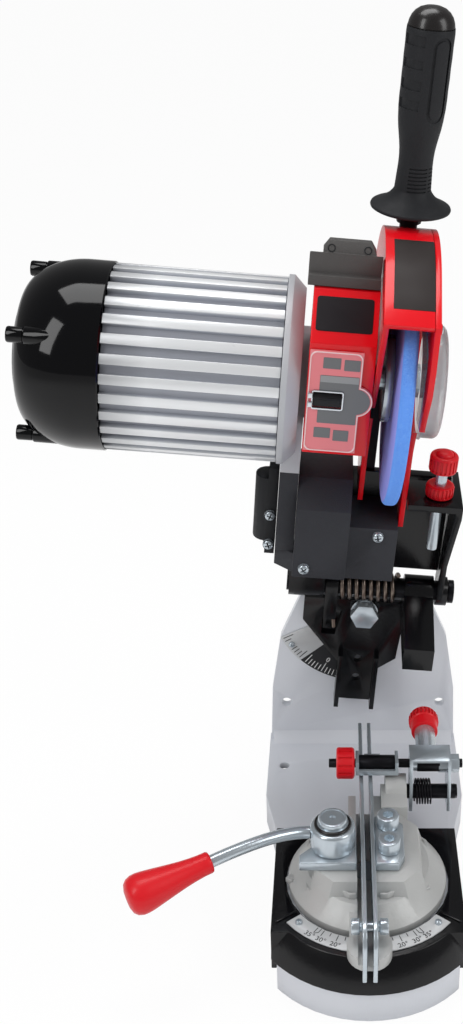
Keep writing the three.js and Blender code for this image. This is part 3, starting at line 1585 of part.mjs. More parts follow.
add(vise, "clamp_hub", clampHub(), zincPlate);
add(vise, "clamp_rod", clampRod(), zincPlate);
add(vise, "clamp_grip", clampGrip(), redPlastic);

// Chain stop: a sprung bracket on a pin, with a cross screw, a carriage and a feed knob
function stopPin() {
  const seat = stopPlateRight + stopPlateSheet + seatGap;
  return joined(
    bar("x", stopPinY, stopPinHeight, stopPinRadius, stopBossFrom + overrun + seatGap, stopPinTo, smallSides),
    hexBar("x", stopPinY, stopPinHeight, stopPinHeadRadius * Math.sqrt(3), seat, seat + stopPinHeadLength),
  );
}

function stopBracket() {
  const outline = [
    [stopPlateFrontY + slideGap, stopPlateBottom],
    [stopPlateBackY - stopPlateSheet * 3, stopPlateBottom],
    [stopPlateBackY, stopPinHeight],
    [stopPlateBackY, stopPlateTop],
    [stopPlateFrontY + stopPlateSheet * 2, stopPlateTop],
    [stopPlateFrontY, stopPinHeight + stopPinRadius],
  ];
  const right = stopPlateRight + stopPlateSheet;
  const plates = joined(
    prism("x", outline, stopPlateLeft, stopPlateLeft + stopPlateSheet),
    prism("x", outline, stopPlateRight, right),
    block(stopPlateLeft, right, stopPlateFrontY + stopPlateSheet * 2, stopPlateBackY,
      stopPlateTop - stopPlateSheet, stopPlateTop),
    block(stopPlateLeft, right, stopPlateBackY - stopPlateSheet, stopPlateBackY,
      stopScrewHeight - feedRadius, stopPlateTop),
  );
  const post = bar("y", feedKnobX, stopScrewHeight, feedRadius, stopPlateBackY - seatGap, feedPostTo);
  const spacer = bar("x", stopScrewY, stopScrewHeight, sleeveRadius, stopPlateLeft,
    stopPlateRight - stopNutHeight, smallSides);
  const nuts = hexBar("x", stopScrewY, stopScrewHeight, stopNutFlat, stopPlateRight - stopNutHeight,
    right + stopNutHeight);
  return cut(
    joined(plates, post, spacer, nuts),
    bar("x", stopScrewY, stopScrewHeight, stopScrewRadius + seatGap, stopPlateLeft - overrun,
      right + stopNutHeight + overrun, smallSides),
    bar("x", stopPinY, stopPinHeight, stopPinRadius + seatGap, stopPlateLeft - overrun, right + overrun,
      smallSides),
  );
}

function stopScrew() {
  return bar("x", stopScrewY, stopScrewHeight, stopScrewRadius, stopScrewFrom, stopScrewTo, smallSides);
}

function stopKnob() {
  return cut(
    knurledBar("x", stopScrewY, stopScrewHeight, stopKnobRadius, stopKnobFrom, stopKnobTo),
    bar("x", stopScrewY, stopScrewHeight, stopScrewRadius + seatGap, stopKnobFrom - overrun,
      stopKnobTo + overrun, smallSides),
  );
}

// Carriage: a bent plate with a sleeve on the screw and a pawl that meets the chain
function stopCarriage() {
  const back = stopScrewY + sleeveRadius;
  const sheet = stopPlateSheet;
  const ends = [carriageLeft, carriageRight - sheet].map((from) => block(from, from + sheet,
    carriageFrontY, back, carriageBottom, carriageTop));
  const front = block(carriageLeft, carriageRight, carriageFrontY, carriageFrontY + sheet, carriageBottom,
    stopScrewHeight);
  const sleeve = bar("x", stopScrewY, stopScrewHeight, sleeveRadius, carriageLeft, carriageRight, smallSides);
  const pawl = block(pawlFrom, pawlTo, stopScrewY, back + sleeveRadius, pawlBottom, stopScrewHeight);
  return cut(joined(...ends, front, sleeve, pawl), bar("x", stopScrewY, stopScrewHeight,
    stopScrewRadius + seatGap, carriageLeft - overrun, carriageRight + overrun, smallSides));
}

function feedKnob() {
  const from = feedPostTo + seatGap;
  return knurledBar("y", feedKnobX, stopScrewHeight, stopKnobRadius, from, from + feedKnobHeight);
}

add(vise, "stop_pin", stopPin(), blackSteel);
add(vise, "stop_bracket", stopBracket(), zincPlate);
add(vise, "stop_spring", coil("stop_spring", stopPinY, stopPinHeight, stopSpringMean, stopSpringWire,
  stopSpringTurns, stopSpringFrom, stopSpringTo, 270), blackSteel);
add(vise, "stop_screw", stopScrew(), blackSteel);
add(vise, "stop_knob", stopKnob(), redPlastic);
add(vise, "stop_carriage", stopCarriage(), zincPlate);
add(vise, "feed_knob", feedKnob(), redPlastic);

export default model;
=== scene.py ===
"""Looks of the bench grinder for saw chain: finishes, rounded edges and the fine pieces round the frame."""
import json
import math

import bmesh
import bpy
from mathutils import Matrix, Vector

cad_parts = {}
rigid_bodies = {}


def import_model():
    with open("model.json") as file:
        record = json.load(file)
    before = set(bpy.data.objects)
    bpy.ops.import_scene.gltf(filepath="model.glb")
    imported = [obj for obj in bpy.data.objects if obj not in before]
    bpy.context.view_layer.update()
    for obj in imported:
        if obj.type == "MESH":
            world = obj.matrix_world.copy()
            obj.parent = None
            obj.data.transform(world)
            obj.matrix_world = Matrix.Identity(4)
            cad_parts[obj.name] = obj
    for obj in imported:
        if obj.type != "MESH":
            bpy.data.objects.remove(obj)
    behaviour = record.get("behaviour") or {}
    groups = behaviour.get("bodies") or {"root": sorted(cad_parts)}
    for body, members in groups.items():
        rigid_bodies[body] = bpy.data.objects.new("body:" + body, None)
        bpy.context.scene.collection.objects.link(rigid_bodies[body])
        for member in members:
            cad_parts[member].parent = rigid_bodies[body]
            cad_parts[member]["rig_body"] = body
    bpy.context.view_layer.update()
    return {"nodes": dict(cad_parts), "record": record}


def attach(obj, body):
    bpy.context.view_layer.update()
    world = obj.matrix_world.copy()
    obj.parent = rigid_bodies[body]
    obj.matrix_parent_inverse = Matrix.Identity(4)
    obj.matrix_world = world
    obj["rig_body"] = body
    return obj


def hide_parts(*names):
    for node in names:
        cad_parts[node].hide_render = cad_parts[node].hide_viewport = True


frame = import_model()

MM = 0.001
UP, RIGHT = Vector((0, 0, 1)), Vector((1, 0, 0))

# Places on the machine that several pieces share, in millimetres and degrees
TILT_BOLT_HEIGHT, TILT_ANGLE = 134, 4.8
PIVOT_BACK, PIVOT_HEIGHT, HEAD_LEAN = 147.5, 154, 5
SPINDLE_FORWARD, SPINDLE_HEIGHT = 24, 162
GUARD_RADIUS = 85
CLAMP_X, CLAMP_Y = -20.4, -3
ROD_RADIUS, ROD_START, ROD_LEAD = 3.6, (-33.4, -3, 77.2), (-44.2, -3, 77.2)
ROD_BEND, ROD_END, GRIP_MOUTH = (-56.8, -13.8, 84.4), (-88.4, -29.2, 78.9), (-88, -29, 79)
CROSS_SCREW_BACK, CROSS_SCREW_HEIGHT = 62, 76
LOBE_X, LOBE_Y = -23, 7
ROCKER_LEFT, ROCKER_RIGHT, ROCKER_LOW, ROCKER_HIGH = -47.2, -29.8, 1.2, 12.8
SCALE_TOP = 40.7
TILT_SCALE_FRONT = 156.8


def shift(x, y, z):
    """A move in millimetres."""
    return Matrix.Translation((x * MM, y * MM, z * MM))


def rotation(degrees, axis):
    return Matrix.Rotation(math.radians(degrees), 4, axis)


# The frames of the CAD model: the tilted group, the head on its pivot, and the spindle on the head
WORLD = Matrix.Identity(4)
TILT = shift(0, 0, TILT_BOLT_HEIGHT) @ rotation(TILT_ANGLE, "Y") @ shift(0, 0, -TILT_BOLT_HEIGHT)
HEAD = TILT @ shift(0, PIVOT_BACK, PIVOT_HEIGHT) @ rotation(HEAD_LEAN, "X")
SPINDLE = HEAD @ shift(0, -SPINDLE_FORWARD, SPINDLE_HEIGHT)
# Turns a piece made along +Z so that it runs along +X, or so that it faces the front
ALONG_X = Matrix(((0, 0, 1, 0), (1, 0, 0, 0), (0, 1, 0, 0), (0, 0, 0, 1)))
TO_FRONT = rotation(90, "X")
CLAMP = shift(CLAMP_X, CLAMP_Y, 0)
CROSS_SCREW = shift(0, CROSS_SCREW_BACK, CROSS_SCREW_HEIGHT) @ ALONG_X


# Finishes

MIX_SHARE, MIX_FIRST, MIX_SECOND, MIX_RESULT = 0, 6, 7, 2


def tone(colour):
    """A colour as it looks on a screen, from 0 to 255, as the shader wants it."""
    shares = [level / 255 for level in colour]
    light = [((share + 0.055) / 1.055) ** 2.4 if share > 0.04 else share / 12.92 for share in shares]
    return (*light, 1)


class Value:
    """An output socket in a node tree, with arithmetic."""

    def __init__(self, graph, socket):
        self.graph, self.socket = graph, socket

    def _with(self, operation, *others):
        return self.graph.node("ShaderNodeMath", {"operation": operation}, dict(enumerate(others)))["Value"]

    def __add__(self, other):
        return self._with("ADD", self, other)

    def __sub__(self, other):
        return self._with("SUBTRACT", self, other)

    def __mul__(self, other):
        return self._with("MULTIPLY", self, other)

    def at_least(self, other):
        return self._with("MAXIMUM", self, other)

    def clamped(self):
        return self._with("MINIMUM", self, 1).at_least(0)


class Graph:
    """A node tree: nodes are added with their settings, and their inputs are linked or set."""

    def __init__(self, tree):
        self.tree = tree

    def feed(self, target, value):
        if isinstance(value, Value):
            self.tree.links.new(value.socket, target)
        else:
            target.default_value = value

    def add(self, kind, settings, values):
        made = self.tree.nodes.new(kind)
        for key, setting in settings.items():
            setattr(made, key, setting)
        for key, value in values.items():
            self.feed(made.inputs[key], value)
        return made

    def node(self, kind, settings, values):
        outputs = self.add(kind, settings, values).outputs
        return {socket.name: Value(self, socket) for socket in reversed(outputs) if socket.enabled}


class Finish(Graph):
    """A material: constants are set on the shader, and patterns are linked to it."""

    def __init__(self, name, colour, roughness=0.4, metallic=0.0, **more):
        self.material = bpy.data.materials.new(name)
        self.material.use_nodes = True
        super().__init__(self.material.node_tree)
        self.shader = self.tree.nodes["Principled BSDF"]
        self.roughness = roughness
        self.set("Base Color", tone(colour))
        self.set("Roughness", roughness)
        self.set("Metallic", metallic)
        for socket, value in more.items():
            self.set(socket.replace("_", " "), value)

    def set(self, socket, value):
        self.feed(self.shader.inputs[socket], value)

    def vector(self, operation, first, second):
        return self.node("ShaderNodeVectorMath", {"operation": operation}, {0: first, 1: second})

    def place(self, stretch=(1, 1, 1)):
        """Object coordinates, stretched along each axis."""
        here = self.node("ShaderNodeTexCoord", {}, {})["Object"]
        return self.node("ShaderNodeMapping", {}, {"Vector": here, "Scale": stretch})["Vector"]

    def noise(self, scale, detail, stretch=(1, 1, 1)):
        values = {"Vector": self.place(stretch), "Scale": scale, "Detail": detail}
        return self.node("ShaderNodeTexNoise", {}, values)["Fac"]

    def cells(self, scale):
        return self.node("ShaderNodeTexVoronoi", {}, {"Vector": self.place(), "Scale": scale})["Distance"]

    def ramp(self, value, stops):
        """Colours between stops of (place, screen colour)."""
        made = self.add("ShaderNodeValToRGB", {}, {"Fac": value})
        elements = made.color_ramp.elements
        while len(elements) < len(stops):
            elements.new(0.5)
        for element, (place, colour) in zip(elements, stops):
            element.position = place
            element.color = tone(colour)
        return Value(self, made.outputs["Color"])

    def sheen(self, share, low, high):
        """Roughness that goes from low to high times its plain value with the share."""
        self.set("Roughness", share * (self.roughness * (high - low)) + self.roughness * low)

    def blend(self, share, first, second):
        """A colour that goes from the first to the second with the share."""
        values = {MIX_SHARE: share, MIX_FIRST: first, MIX_SECOND: second}
        return Value(self, self.add("ShaderNodeMix", {"data_type": "RGBA"}, values).outputs[MIX_RESULT])

    def bump(self, height, depth):
        """Relief: the height runs from 0 to 1 over the depth in millimetres."""
        values = {"Height": height, "Distance": depth * MM, "Strength": 1.0}
        self.set("Normal", self.node("ShaderNodeBump", {}, values)["Normal"])


def painted(name, colour, darker, roughness, grain, relief, coat=0.0, shine=0.5):
    """Paint on metal: faint orange peel and a slow change of shade."""
    finish = Finish(name, colour, roughness, Coat_Weight=coat, Coat_Roughness=0.08, Specular_IOR_Level=shine)
    finish.set("Base Color", finish.blend(finish.noise(18, detail=3), tone(colour), tone(darker)))
    finish.sheen(finish.noise(120, detail=3), low=0.85, high=1.2)
    finish.bump(finish.noise(grain, detail=3), relief)
    return finish


def moulded(name, colour, roughness, grain, relief, coat=0.0, shade=0.86, shine=0.4):
    """Moulded plastic: a fine pebble grain, and sheen that varies a little."""
    plain = tone(colour)
    darker = tuple(c * shade for c in plain[:3]) + (1,)
    finish = Finish(name, colour, roughness, Coat_Weight=coat, Coat_Roughness=0.05, Specular_IOR_Level=shine)
    finish.set("Base Color", finish.blend(finish.noise(35, detail=4), plain, darker))
    finish.sheen(finish.noise(260, detail=2), low=0.85, high=1.15)
    finish.bump(finish.cells(grain), relief)
    return finish


def metal(name, colour, darker, roughness, grain, relief, metallic=1.0, stretch=(1, 1, 1)):
    """Bare or plated metal, with marks drawn out along the way it was worked."""
    finish = Finish(name, colour, roughness, metallic)
    marks = finish.noise(grain, detail=4, stretch=stretch)
    finish.set("Base Color", finish.blend(finish.noise(40, detail=3), tone(colour), tone(darker)))
    finish.sheen(marks, low=0.75, high=1.35)
    finish.bump(marks, relief)
    return finish


def abrasive(name, deep, middle, pale):
    """Bonded grain: pale and deep specks with small pits."""
    finish = Finish(name, middle, 0.9)
    stops = [(0.3, deep), (0.46, middle), (0.58, middle), (0.7, pale)]
    finish.set("Base Color", finish.ramp(finish.noise(2600, detail=2), stops))
    finish.bump(finish.noise(2200, detail=2), 0.12)
    return finish


def finned():
    """Drawn aluminium: painted highlights on fin crowns, painted shade in grooves and by the dome."""
    groove_floor, fin_height = 49, 3.4
    shade_start, shade_length = -161, 26
    finish = Finish("finned_aluminium", (214, 217, 222), 0.3, 0.35)
    from_axis = finish.vector("SUBTRACT", finish.place(), tuple(SPINDLE.translation))["Vector"]
    axle = tuple((SPINDLE.to_3x3() @ RIGHT).normalized())
    across = finish.vector("CROSS_PRODUCT", from_axis, axle)["Vector"]
    distance = finish.node("ShaderNodeVectorMath", {"operation": "LENGTH"}, {0: across})["Value"]
    along = finish.vector("DOT_PRODUCT", from_axis, axle)["Value"]
    height = ((distance - groove_floor * MM) * (1 / (fin_height * MM))).clamped()
    shade = ((along - shade_start * MM) * (1 / (shade_length * MM))).clamped()
    # Painted light: the groove floors are darker as painted shade, the crowns paler as painted highlight
    stops = [(0, (168, 171, 180)), (0.5, (186, 190, 198)), (0.85, (214, 217, 222)), (1, (232, 234, 236))]
    painted_fin_light = finish.ramp(height, stops)
    # Painted shade: the fins darken towards the dome
    painted_dome_shade = finish.blend(0.55, painted_fin_light, tone((70, 72, 78)))
    finish.set("Base Color", finish.blend(shade, painted_dome_shade, painted_fin_light))
    marks = finish.noise(900, detail=4, stretch=(0.05, 1, 1))
    finish.sheen(marks, low=0.8, high=1.4)
    finish.bump(marks, 0.03)
    return finish


def clear(name, colour, roughness, alpha):
    """Clear plastic or glass with faint waves."""
    finish = Finish(name, colour, roughness, Transmission_Weight=1.0, IOR=1.45, Alpha=alpha)
    finish.sheen(finish.noise(90, detail=2), low=0.8, high=1.3)
    finish.bump(finish.noise(300, detail=2), 0.03)
    return finish


def smooth_skin(name, colour, roughness, **more):
    """Print, or a smooth shell: one colour, with sheen that varies a little."""
    finish = Finish(name, colour, roughness, **more)
    finish.sheen(finish.noise(60, detail=3), low=0.8, high=1.3)
    finish.bump(finish.noise(220, detail=2), 0.01)
    return finish


# Screen colours, roughness, grain per metre, and relief in millimetres
finishes = {
    "grey_paint": painted(
        "grey_casting_paint", (210, 213, 219), (203, 206, 213), 0.34, grain=700, relief=0.06, coat=0.15,
    ),
    "bell_grey": painted("grey_bell_paint", (182, 184, 188), (170, 172, 177), 0.4, grain=800, relief=0.06),
    "black_paint": painted(
        "gloss_black_paint", (14, 14, 17), (8, 8, 10), 0.2, grain=500, relief=0.05, shine=0.35,
    ),
    "scale_silver": metal(
        "printed_scale_plate", (205, 207, 208), (188, 190, 192), 0.4, grain=600, relief=0.01, metallic=0.2,
    ),
    "zinc_steel": metal(
        "bright_zinc_plate", (206, 214, 220), (184, 195, 203), 0.22, grain=420, relief=0.01, metallic=0.7,
    ),
    "black_steel": metal(
        "blackened_steel", (42, 42, 46), (26, 26, 28), 0.36, grain=500, relief=0.02, metallic=0.9,
    ),
    "spring_steel": metal(
        "bronze_spring_steel", (148, 134, 124), (104, 92, 84), 0.32, grain=500, relief=0.02,
    ),
    "charcoal_moulding": moulded(
        "charcoal_moulding", (52, 53, 58), 0.62, grain=1500, relief=0.1, shine=0.25,
    ),
    "soft_black": moulded("soft_black_moulding", (34, 35, 38), 0.55, grain=1700, relief=0.06, shine=0.25),
    "lamp_grey": moulded("lamp_grey_moulding", (78, 76, 75), 0.6, grain=1400, relief=0.1),
    "finned_aluminium": finned(),
    "winding": metal(
        "copper_winding", (176, 104, 62), (120, 66, 40), 0.4, grain=900, relief=0.1, metallic=0.8,
        stretch=(0.1, 1, 1),
    ),
    "gloss_black": smooth_skin("gloss_black_shell", (8, 8, 10), 0.12, Specular_IOR_Level=0.35),
    "dome_black": smooth_skin("gloss_black_dome", (4, 4, 6), 0.07, Specular_IOR_Level=0.3),
    "red_moulding": moulded(
        "gloss_red_moulding", (222, 12, 26), 0.24, grain=500, relief=0.01, coat=0.2, shade=0.94, shine=0.3,
    ),
    "red_knob": moulded(
        "satin_red_knob", (218, 18, 30), 0.38, grain=900, relief=0.03, coat=0.1, shade=0.92, shine=0.3,
    ),
    "smoke_clear": clear("clear_cap", (216, 219, 222), 0.3, alpha=0.7),
    "pink_clear": smooth_skin("clear_over_red", (222, 122, 128), 0.3, Coat_Weight=0.2),
    "bulb_glass": clear("bulb_glass", (244, 240, 226), 0.1, alpha=0.7),
    "abrasive_blue": abrasive("abrasive_grain", (66, 118, 222), (98, 156, 244), (140, 186, 250)),
    # Paler violet copy of the abrasive for the wheel's flat sides: painted light
    "abrasive_side": abrasive("abrasive_side_painted_light", (122, 130, 224), (146, 154, 240), (174, 180, 248)),
    "cast_turntable": metal(
        "raw_casting", (192, 193, 192), (172, 173, 172), 0.42, grain=420, relief=0.12, metallic=0.25,
    ),
    "lettering_black": smooth_skin("lettering_black", (26, 27, 30), 0.5),
    "lettering_white": smooth_skin("lettering_white", (232, 232, 232), 0.5),
    "plate_black": smooth_skin("bare_black_plate", (30, 26, 30), 0.5, Specular_IOR_Level=0.25),
    "plate_grey": smooth_skin("bare_dark_plate", (46, 40, 39), 0.5, Specular_IOR_Level=0.25),
    "field_grey": smooth_skin("printed_grey_field", (104, 106, 108), 0.4),
    "field_pale": smooth_skin("printed_pale_band", (142, 144, 145), 0.4),
    "rim_pale": smooth_skin("pale_rim", (236, 206, 206), 0.25),
    "chrome": metal("bright_chrome", (226, 230, 236), (200, 205, 212), 0.1, grain=300, relief=0.01),
    "cap_black": moulded("glossy_black_cap", (30, 27, 27), 0.28, grain=900, relief=0.01, coat=0.2),
}

slot_of = {part["node"]: part["material_slot"] for part in frame["record"]["subparts"]}
for name, node in frame["nodes"].items():
    node.data.materials.clear()
    node.data.materials.append(finishes[slot_of[name]].material)


# Making pieces: every piece is shaped in its own frame, in millimetres, and then settled in its place

SAME_POINT = 0.005
SAME_POINT_OF_ROD = 0.01
SAME_POINT_OF_CAD = 0.02
ALMOST_FLAT = 0.6


def leave_all():
    """Back to object mode with nothing selected."""
    if bpy.context.object and bpy.context.object.mode != "OBJECT":
        bpy.ops.object.mode_set(mode="OBJECT")
    bpy.ops.object.select_all(action="DESELECT")


def alone(piece):
    """Only this piece selected, and active."""
    leave_all()
    piece.select_set(True)
    bpy.context.view_layer.objects.active = piece


def started(name, primitive, **settings):
    """Adds a primitive to start a piece from, and settles its place in its mesh."""
    leave_all()
    primitive(**settings)
    piece = bpy.context.active_object
    piece.name = name
    bpy.ops.object.transform_apply(location=True, rotation=True, scale=True)
    return piece


def shaping(piece):
    """Into edit mode with all of the piece selected."""
    alone(piece)
    bpy.ops.object.mode_set(mode="EDIT")
    bpy.ops.mesh.select_mode(type="FACE")
    bpy.ops.mesh.select_all(action="SELECT")


def shaped():
    """Turns every face outwards, and leaves edit mode."""
    bpy.ops.mesh.select_all(action="SELECT")
    bpy.ops.mesh.normals_make_consistent(inside=False)
    bpy.ops.object.mode_set(mode="OBJECT")


def pick(piece, wanted):
    """In edit mode, selects the faces whose middle in millimetres and whose normal pass the test."""
    bpy.ops.mesh.select_mode(type="FACE")
    bpy.ops.mesh.select_all(action="DESELECT")
    for face in bmesh.from_edit_mesh(piece.data).faces:
        face.select_set(wanted(face.calc_center_median() / MM, face.normal))
    bmesh.update_edit_mesh(piece.data)


def pull(distance):
    """Extrudes the selected faces along their normals."""
    bpy.ops.mesh.extrude_region_shrink_fatten(TRANSFORM_OT_shrink_fatten={"value": distance * MM})


def lift(height):
    """Extrudes what is selected straight up."""
    bpy.ops.mesh.extrude_region_move(TRANSFORM_OT_translate={"value": (0, 0, height * MM)})


def inset(width):
    bpy.ops.mesh.inset(thickness=width * MM, depth=0)


def turned(name, profile, sides=64, loop=False):
    """A round piece along +Z, drawn ring by ring through (radius, height) pairs; a loop is hollow."""
    radius, height = profile[0]
    piece = started(name, bpy.ops.mesh.primitive_circle_add, vertices=sides, radius=radius * MM,
                    fill_type="NOTHING" if loop else "NGON", location=(0, 0, height * MM))
    bpy.ops.object.mode_set(mode="EDIT")
    bpy.ops.mesh.select_mode(type="EDGE" if loop else "FACE")
    bpy.ops.mesh.select_all(action="SELECT")
    for next_radius, next_height in profile[1:] + (profile[:1] if loop else []):
        lift(next_height - height)
        if next_radius == 0:
            bpy.ops.mesh.merge(type="CENTER")
            break
        if next_radius != radius:
            share = next_radius / radius
            bpy.ops.transform.resize(value=(share, share, 1), center_override=(0, 0, next_height * MM))
        radius, height = next_radius, next_height
    bpy.ops.mesh.select_all(action="SELECT")
    bpy.ops.mesh.remove_doubles(threshold=SAME_POINT * MM)
    shaped()
    return piece


def slab(name, outline, low, high):
    """A plate between two heights: a face with its corners drawn to the (x, y) outline, and extruded."""
    piece = started(name, bpy.ops.mesh.primitive_circle_add, vertices=len(outline), radius=MM,
                    fill_type="NGON", location=(0, 0, low * MM))
    for corner, (x, y) in zip(piece.data.vertices, outline):
        corner.co = (x * MM, y * MM, low * MM)
    shaping(piece)
    lift(high - low)
    shaped()
    return piece


def box(name, low, high):
    """A block between two corners."""
    outline = [(low[0], low[1]), (high[0], low[1]), (high[0], high[1]), (low[0], high[1])]
    return slab(name, outline, low[2], high[2])


def arc_points(x, y, radius, start, end, steps):
    turns = [math.radians(start + (end - start) * i / steps) for i in range(steps + 1)]
    return [(x + radius * math.cos(turn), y + radius * math.sin(turn)) for turn in turns]


def rounded_outline(left, right, low, high, radius, steps=6):
    """Corners of a rectangle with round corners."""
    points = []
    for x, y, start in ((right, high, 0), (left, high, 90), (left, low, 180), (right, low, 270)):
        inner_x = x - radius if x == right else x + radius
        inner_y = y - radius if y == high else y + radius
        points += arc_points(inner_x, inner_y, radius, start, start + 90, steps)
    return points


def smoothed(piece, angle):
    alone(piece)
    bpy.ops.object.shade_smooth_by_angle(angle=math.radians(angle))


def rounded_edges(piece, width, segments=2, angle=30):
    """A bevel on every edge sharper than the angle, applied."""
    alone(piece)
    bevel = piece.modifiers.new("edge", "BEVEL")
    bevel.width = width * MM
    bevel.segments = segments
    bevel.limit_method = "ANGLE"
    bevel.angle_limit = math.radians(angle)
    bpy.ops.object.modifier_apply(modifier="edge")


def carved(piece, *cutters, operation="DIFFERENCE"):
    """Cuts the cutters out of the piece, or adds them, and takes them away."""
    for cutter in cutters:
        alone(piece)
        knife = piece.modifiers.new("cut", "BOOLEAN")
        knife.operation = operation
        knife.solver = "EXACT"
        knife.object = cutter
        bpy.ops.object.modifier_apply(modifier="cut")
        bpy.data.objects.remove(cutter, do_unlink=True)
    return piece


def placed(piece, place):
    """Moves a piece from its own frame to its place, and leaves its object at the origin."""
    alone(piece)
    piece.matrix_world = place
    bpy.ops.object.transform_apply(location=True, rotation=True, scale=True)


def fitted(piece, node, finish, place=WORLD, instead=False, smooth=32):
    """Settles a piece on the CAD node that carries it; instead means that it stands for the node."""
    placed(piece, place)
    piece.data.materials.clear()
    piece.data.materials.append(finishes[finish].material)
    smoothed(piece, smooth)
    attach(piece, frame["nodes"][node]["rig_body"])
    if instead:
        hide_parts(node)


def refinished(piece, finish, wanted):
    """Gives the faces that pass the test another finish."""
    piece.data.materials.append(finishes[finish].material)
    last = len(piece.data.materials) - 1
    for face in piece.data.polygons:
        if wanted(face.center, face.normal):
            face.material_index = last


def dressed(node, width):
    """A copy of a CAD node with rounded edges, which stands for the node."""
    source = frame["nodes"][node]
    piece = bpy.data.objects.new(node + "_shaped", source.data.copy())
    bpy.context.scene.collection.objects.link(piece)
    shaping(piece)
    bpy.ops.mesh.remove_doubles(threshold=SAME_POINT_OF_CAD * MM)
    bpy.ops.mesh.dissolve_limited(angle_limit=math.radians(ALMOST_FLAT))
    bpy.ops.object.mode_set(mode="OBJECT")
    rounded_edges(piece, width)
    fitted(piece, node, slot_of[node], instead=True, smooth=35)


EDGE_WIDTHS = {
    "base_casting": 1.6, "scale_cover": 0.8, "angle_scale_plate": 0.12, "tilt_scale_plate": 0.12,
    "tilt_bracket": 0.7, "tilt_bolt": 0.5, "tilt_lock_nut": 0.5, "stop_finger": 0.9, "pivot_shaft": 0.6,
    "head_arm": 0.7, "depth_bracket": 0.7, "arm_cover": 1.3, "cable_clamp": 1.2, "depth_rod": 0.6,
    "end_bell": 1.0, "motor_tube": 0.35, "inner_guard": 1.4, "outer_guard": 1.4, "switch_cover": 1.4,
    "lamp_housing": 0.9, "turntable": 1.0, "clamp_plate": 0.5, "backing_plate": 0.5, "fixed_rail": 0.4,
    "moving_rail": 0.4, "guide_pin": 0.4, "stop_pin": 0.4, "stop_bracket": 0.4, "stop_screw": 0.3,
    "stop_carriage": 0.3, "inner_flange": 0.5, "outer_flange": 0.4, "spindle_nut": 0.4,
}


# The handle on the guard

GRIP_SIDES = 96
GRIP_SEAT = SPINDLE @ shift(0, 30, 90.33)


def bearing_of(middle):
    """Degrees round a handle from its front, positive to the right, with the handle along +Z."""
    return math.degrees(math.atan2(middle.x, -middle.y))


def within(value, limits):
    return limits[0] < value < limits[1]


def grip_body(grooves, groove_width, pads):
    """The grip as turned, with its rings where the grooves and the pads begin and end."""
    waist_start, waist_radius, waist_taper = 11, 10.2, 0.055
    barrel_low, barrel_high = 12.7, 12.8
    profile = [(21.4, 0), (22.3, 0.5), (22.5, 1.2), (22.2, 2), (19.4, 3.2), (16.2, 4.8), (13.2, 7),
               (11.2, 9.4), (10.3, waist_start)]
    for height in grooves:
        radius = waist_radius - waist_taper * (height - waist_start)
        profile += [(radius, height), (radius, height + groove_width)]
    profile += [(9.45, 27), (9.5, 29.5), (9.75, 33), (10.3, 37), (11, 41), (11.7, 45), (12.2, 49),
                (12.45, 52.5)]
    for low, high in pads:
        profile += [(barrel_low, low), (barrel_high, high)]
    profile += [(12.6, 96.4)]
    return turned("handle_grip_shaped", profile, GRIP_SIDES)


def pill_ring():
    """The pill-shaped ring that cuts the bare groove in the grip's side."""
    outer, inner, length, depth = 5.6, 3.9, 32.2, 20
    low, bearing, floor_radius = 55.5, 33, 11.9

    def outline(radius):
        return arc_points(0, length, radius, 0, 180, 14) + arc_points(0, 0, radius, 180, 360, 14)

    ring = carved(slab("pill", outline(outer), 0, depth), slab("island", outline(inner), -1, depth + 1))
    placed(ring, rotation(bearing, "Z") @ shift(0, 0, low) @ TO_FRONT)
    return carved(ring, turned("core", [(floor_radius, 40), (floor_radius, 100)], GRIP_SIDES))


def handle_grip():
    """Flange, waist with grooves, barrel with four shallow pads and a bare pill-shaped groove."""
    groove_start, groove_step, groove_width, groove_depth, groove_edge = 11.6, 2.05, 0.95, 0.75, 0.12
    groove_count, front_sector, side_sector = 7, (-24, 40), (47, 98)
    grooves = [groove_start + groove_step * i for i in range(groove_count)]
    pads = [(55.6, 61.4), (65.6, 71.4), (76.4, 81.6), (87.6, 93.6)]
    pad_sector, pad_depth, pad_edge = (-80, -13), 0.8, 0.35
    grip = grip_body(grooves, groove_width, pads)

    def groove(middle, normal):
        bearing = bearing_of(middle)
        in_sector = within(bearing, front_sector) or within(bearing, side_sector)
        return in_sector and any(within(middle.z, (low, low + groove_width)) for low in grooves)

    def pad(middle, normal):
        return within(bearing_of(middle), pad_sector) and any(within(middle.z, heights) for heights in pads)

    shaping(grip)
    pick(grip, groove)
    inset(groove_edge)
    pull(-groove_depth)
    pick(grip, pad)
    inset(pad_edge)
    pull(-pad_depth)
    bpy.ops.object.mode_set(mode="OBJECT")
    carved(grip, pill_ring())
    rounded_edges(grip, groove_edge, segments=2, angle=40)
    fitted(grip, "handle_grip", "soft_black", GRIP_SEAT, instead=True, smooth=38)


def grip_end_cap():
    """Glossy domed cap on the end of the grip."""
    cap = turned("grip_end_cap", [
        (11.6, 95.6), (11.9, 96), (11.9, 96.6), (12.35, 97), (11.9, 99.2), (10.9, 101.6), (9.3, 103.7),
        (7, 105.4), (4.2, 106.4), (1.6, 106.7), (0, 106.7),
    ], sides=GRIP_SIDES)
    fitted(cap, "handle_grip", "cap_black", GRIP_SEAT)


# Motor


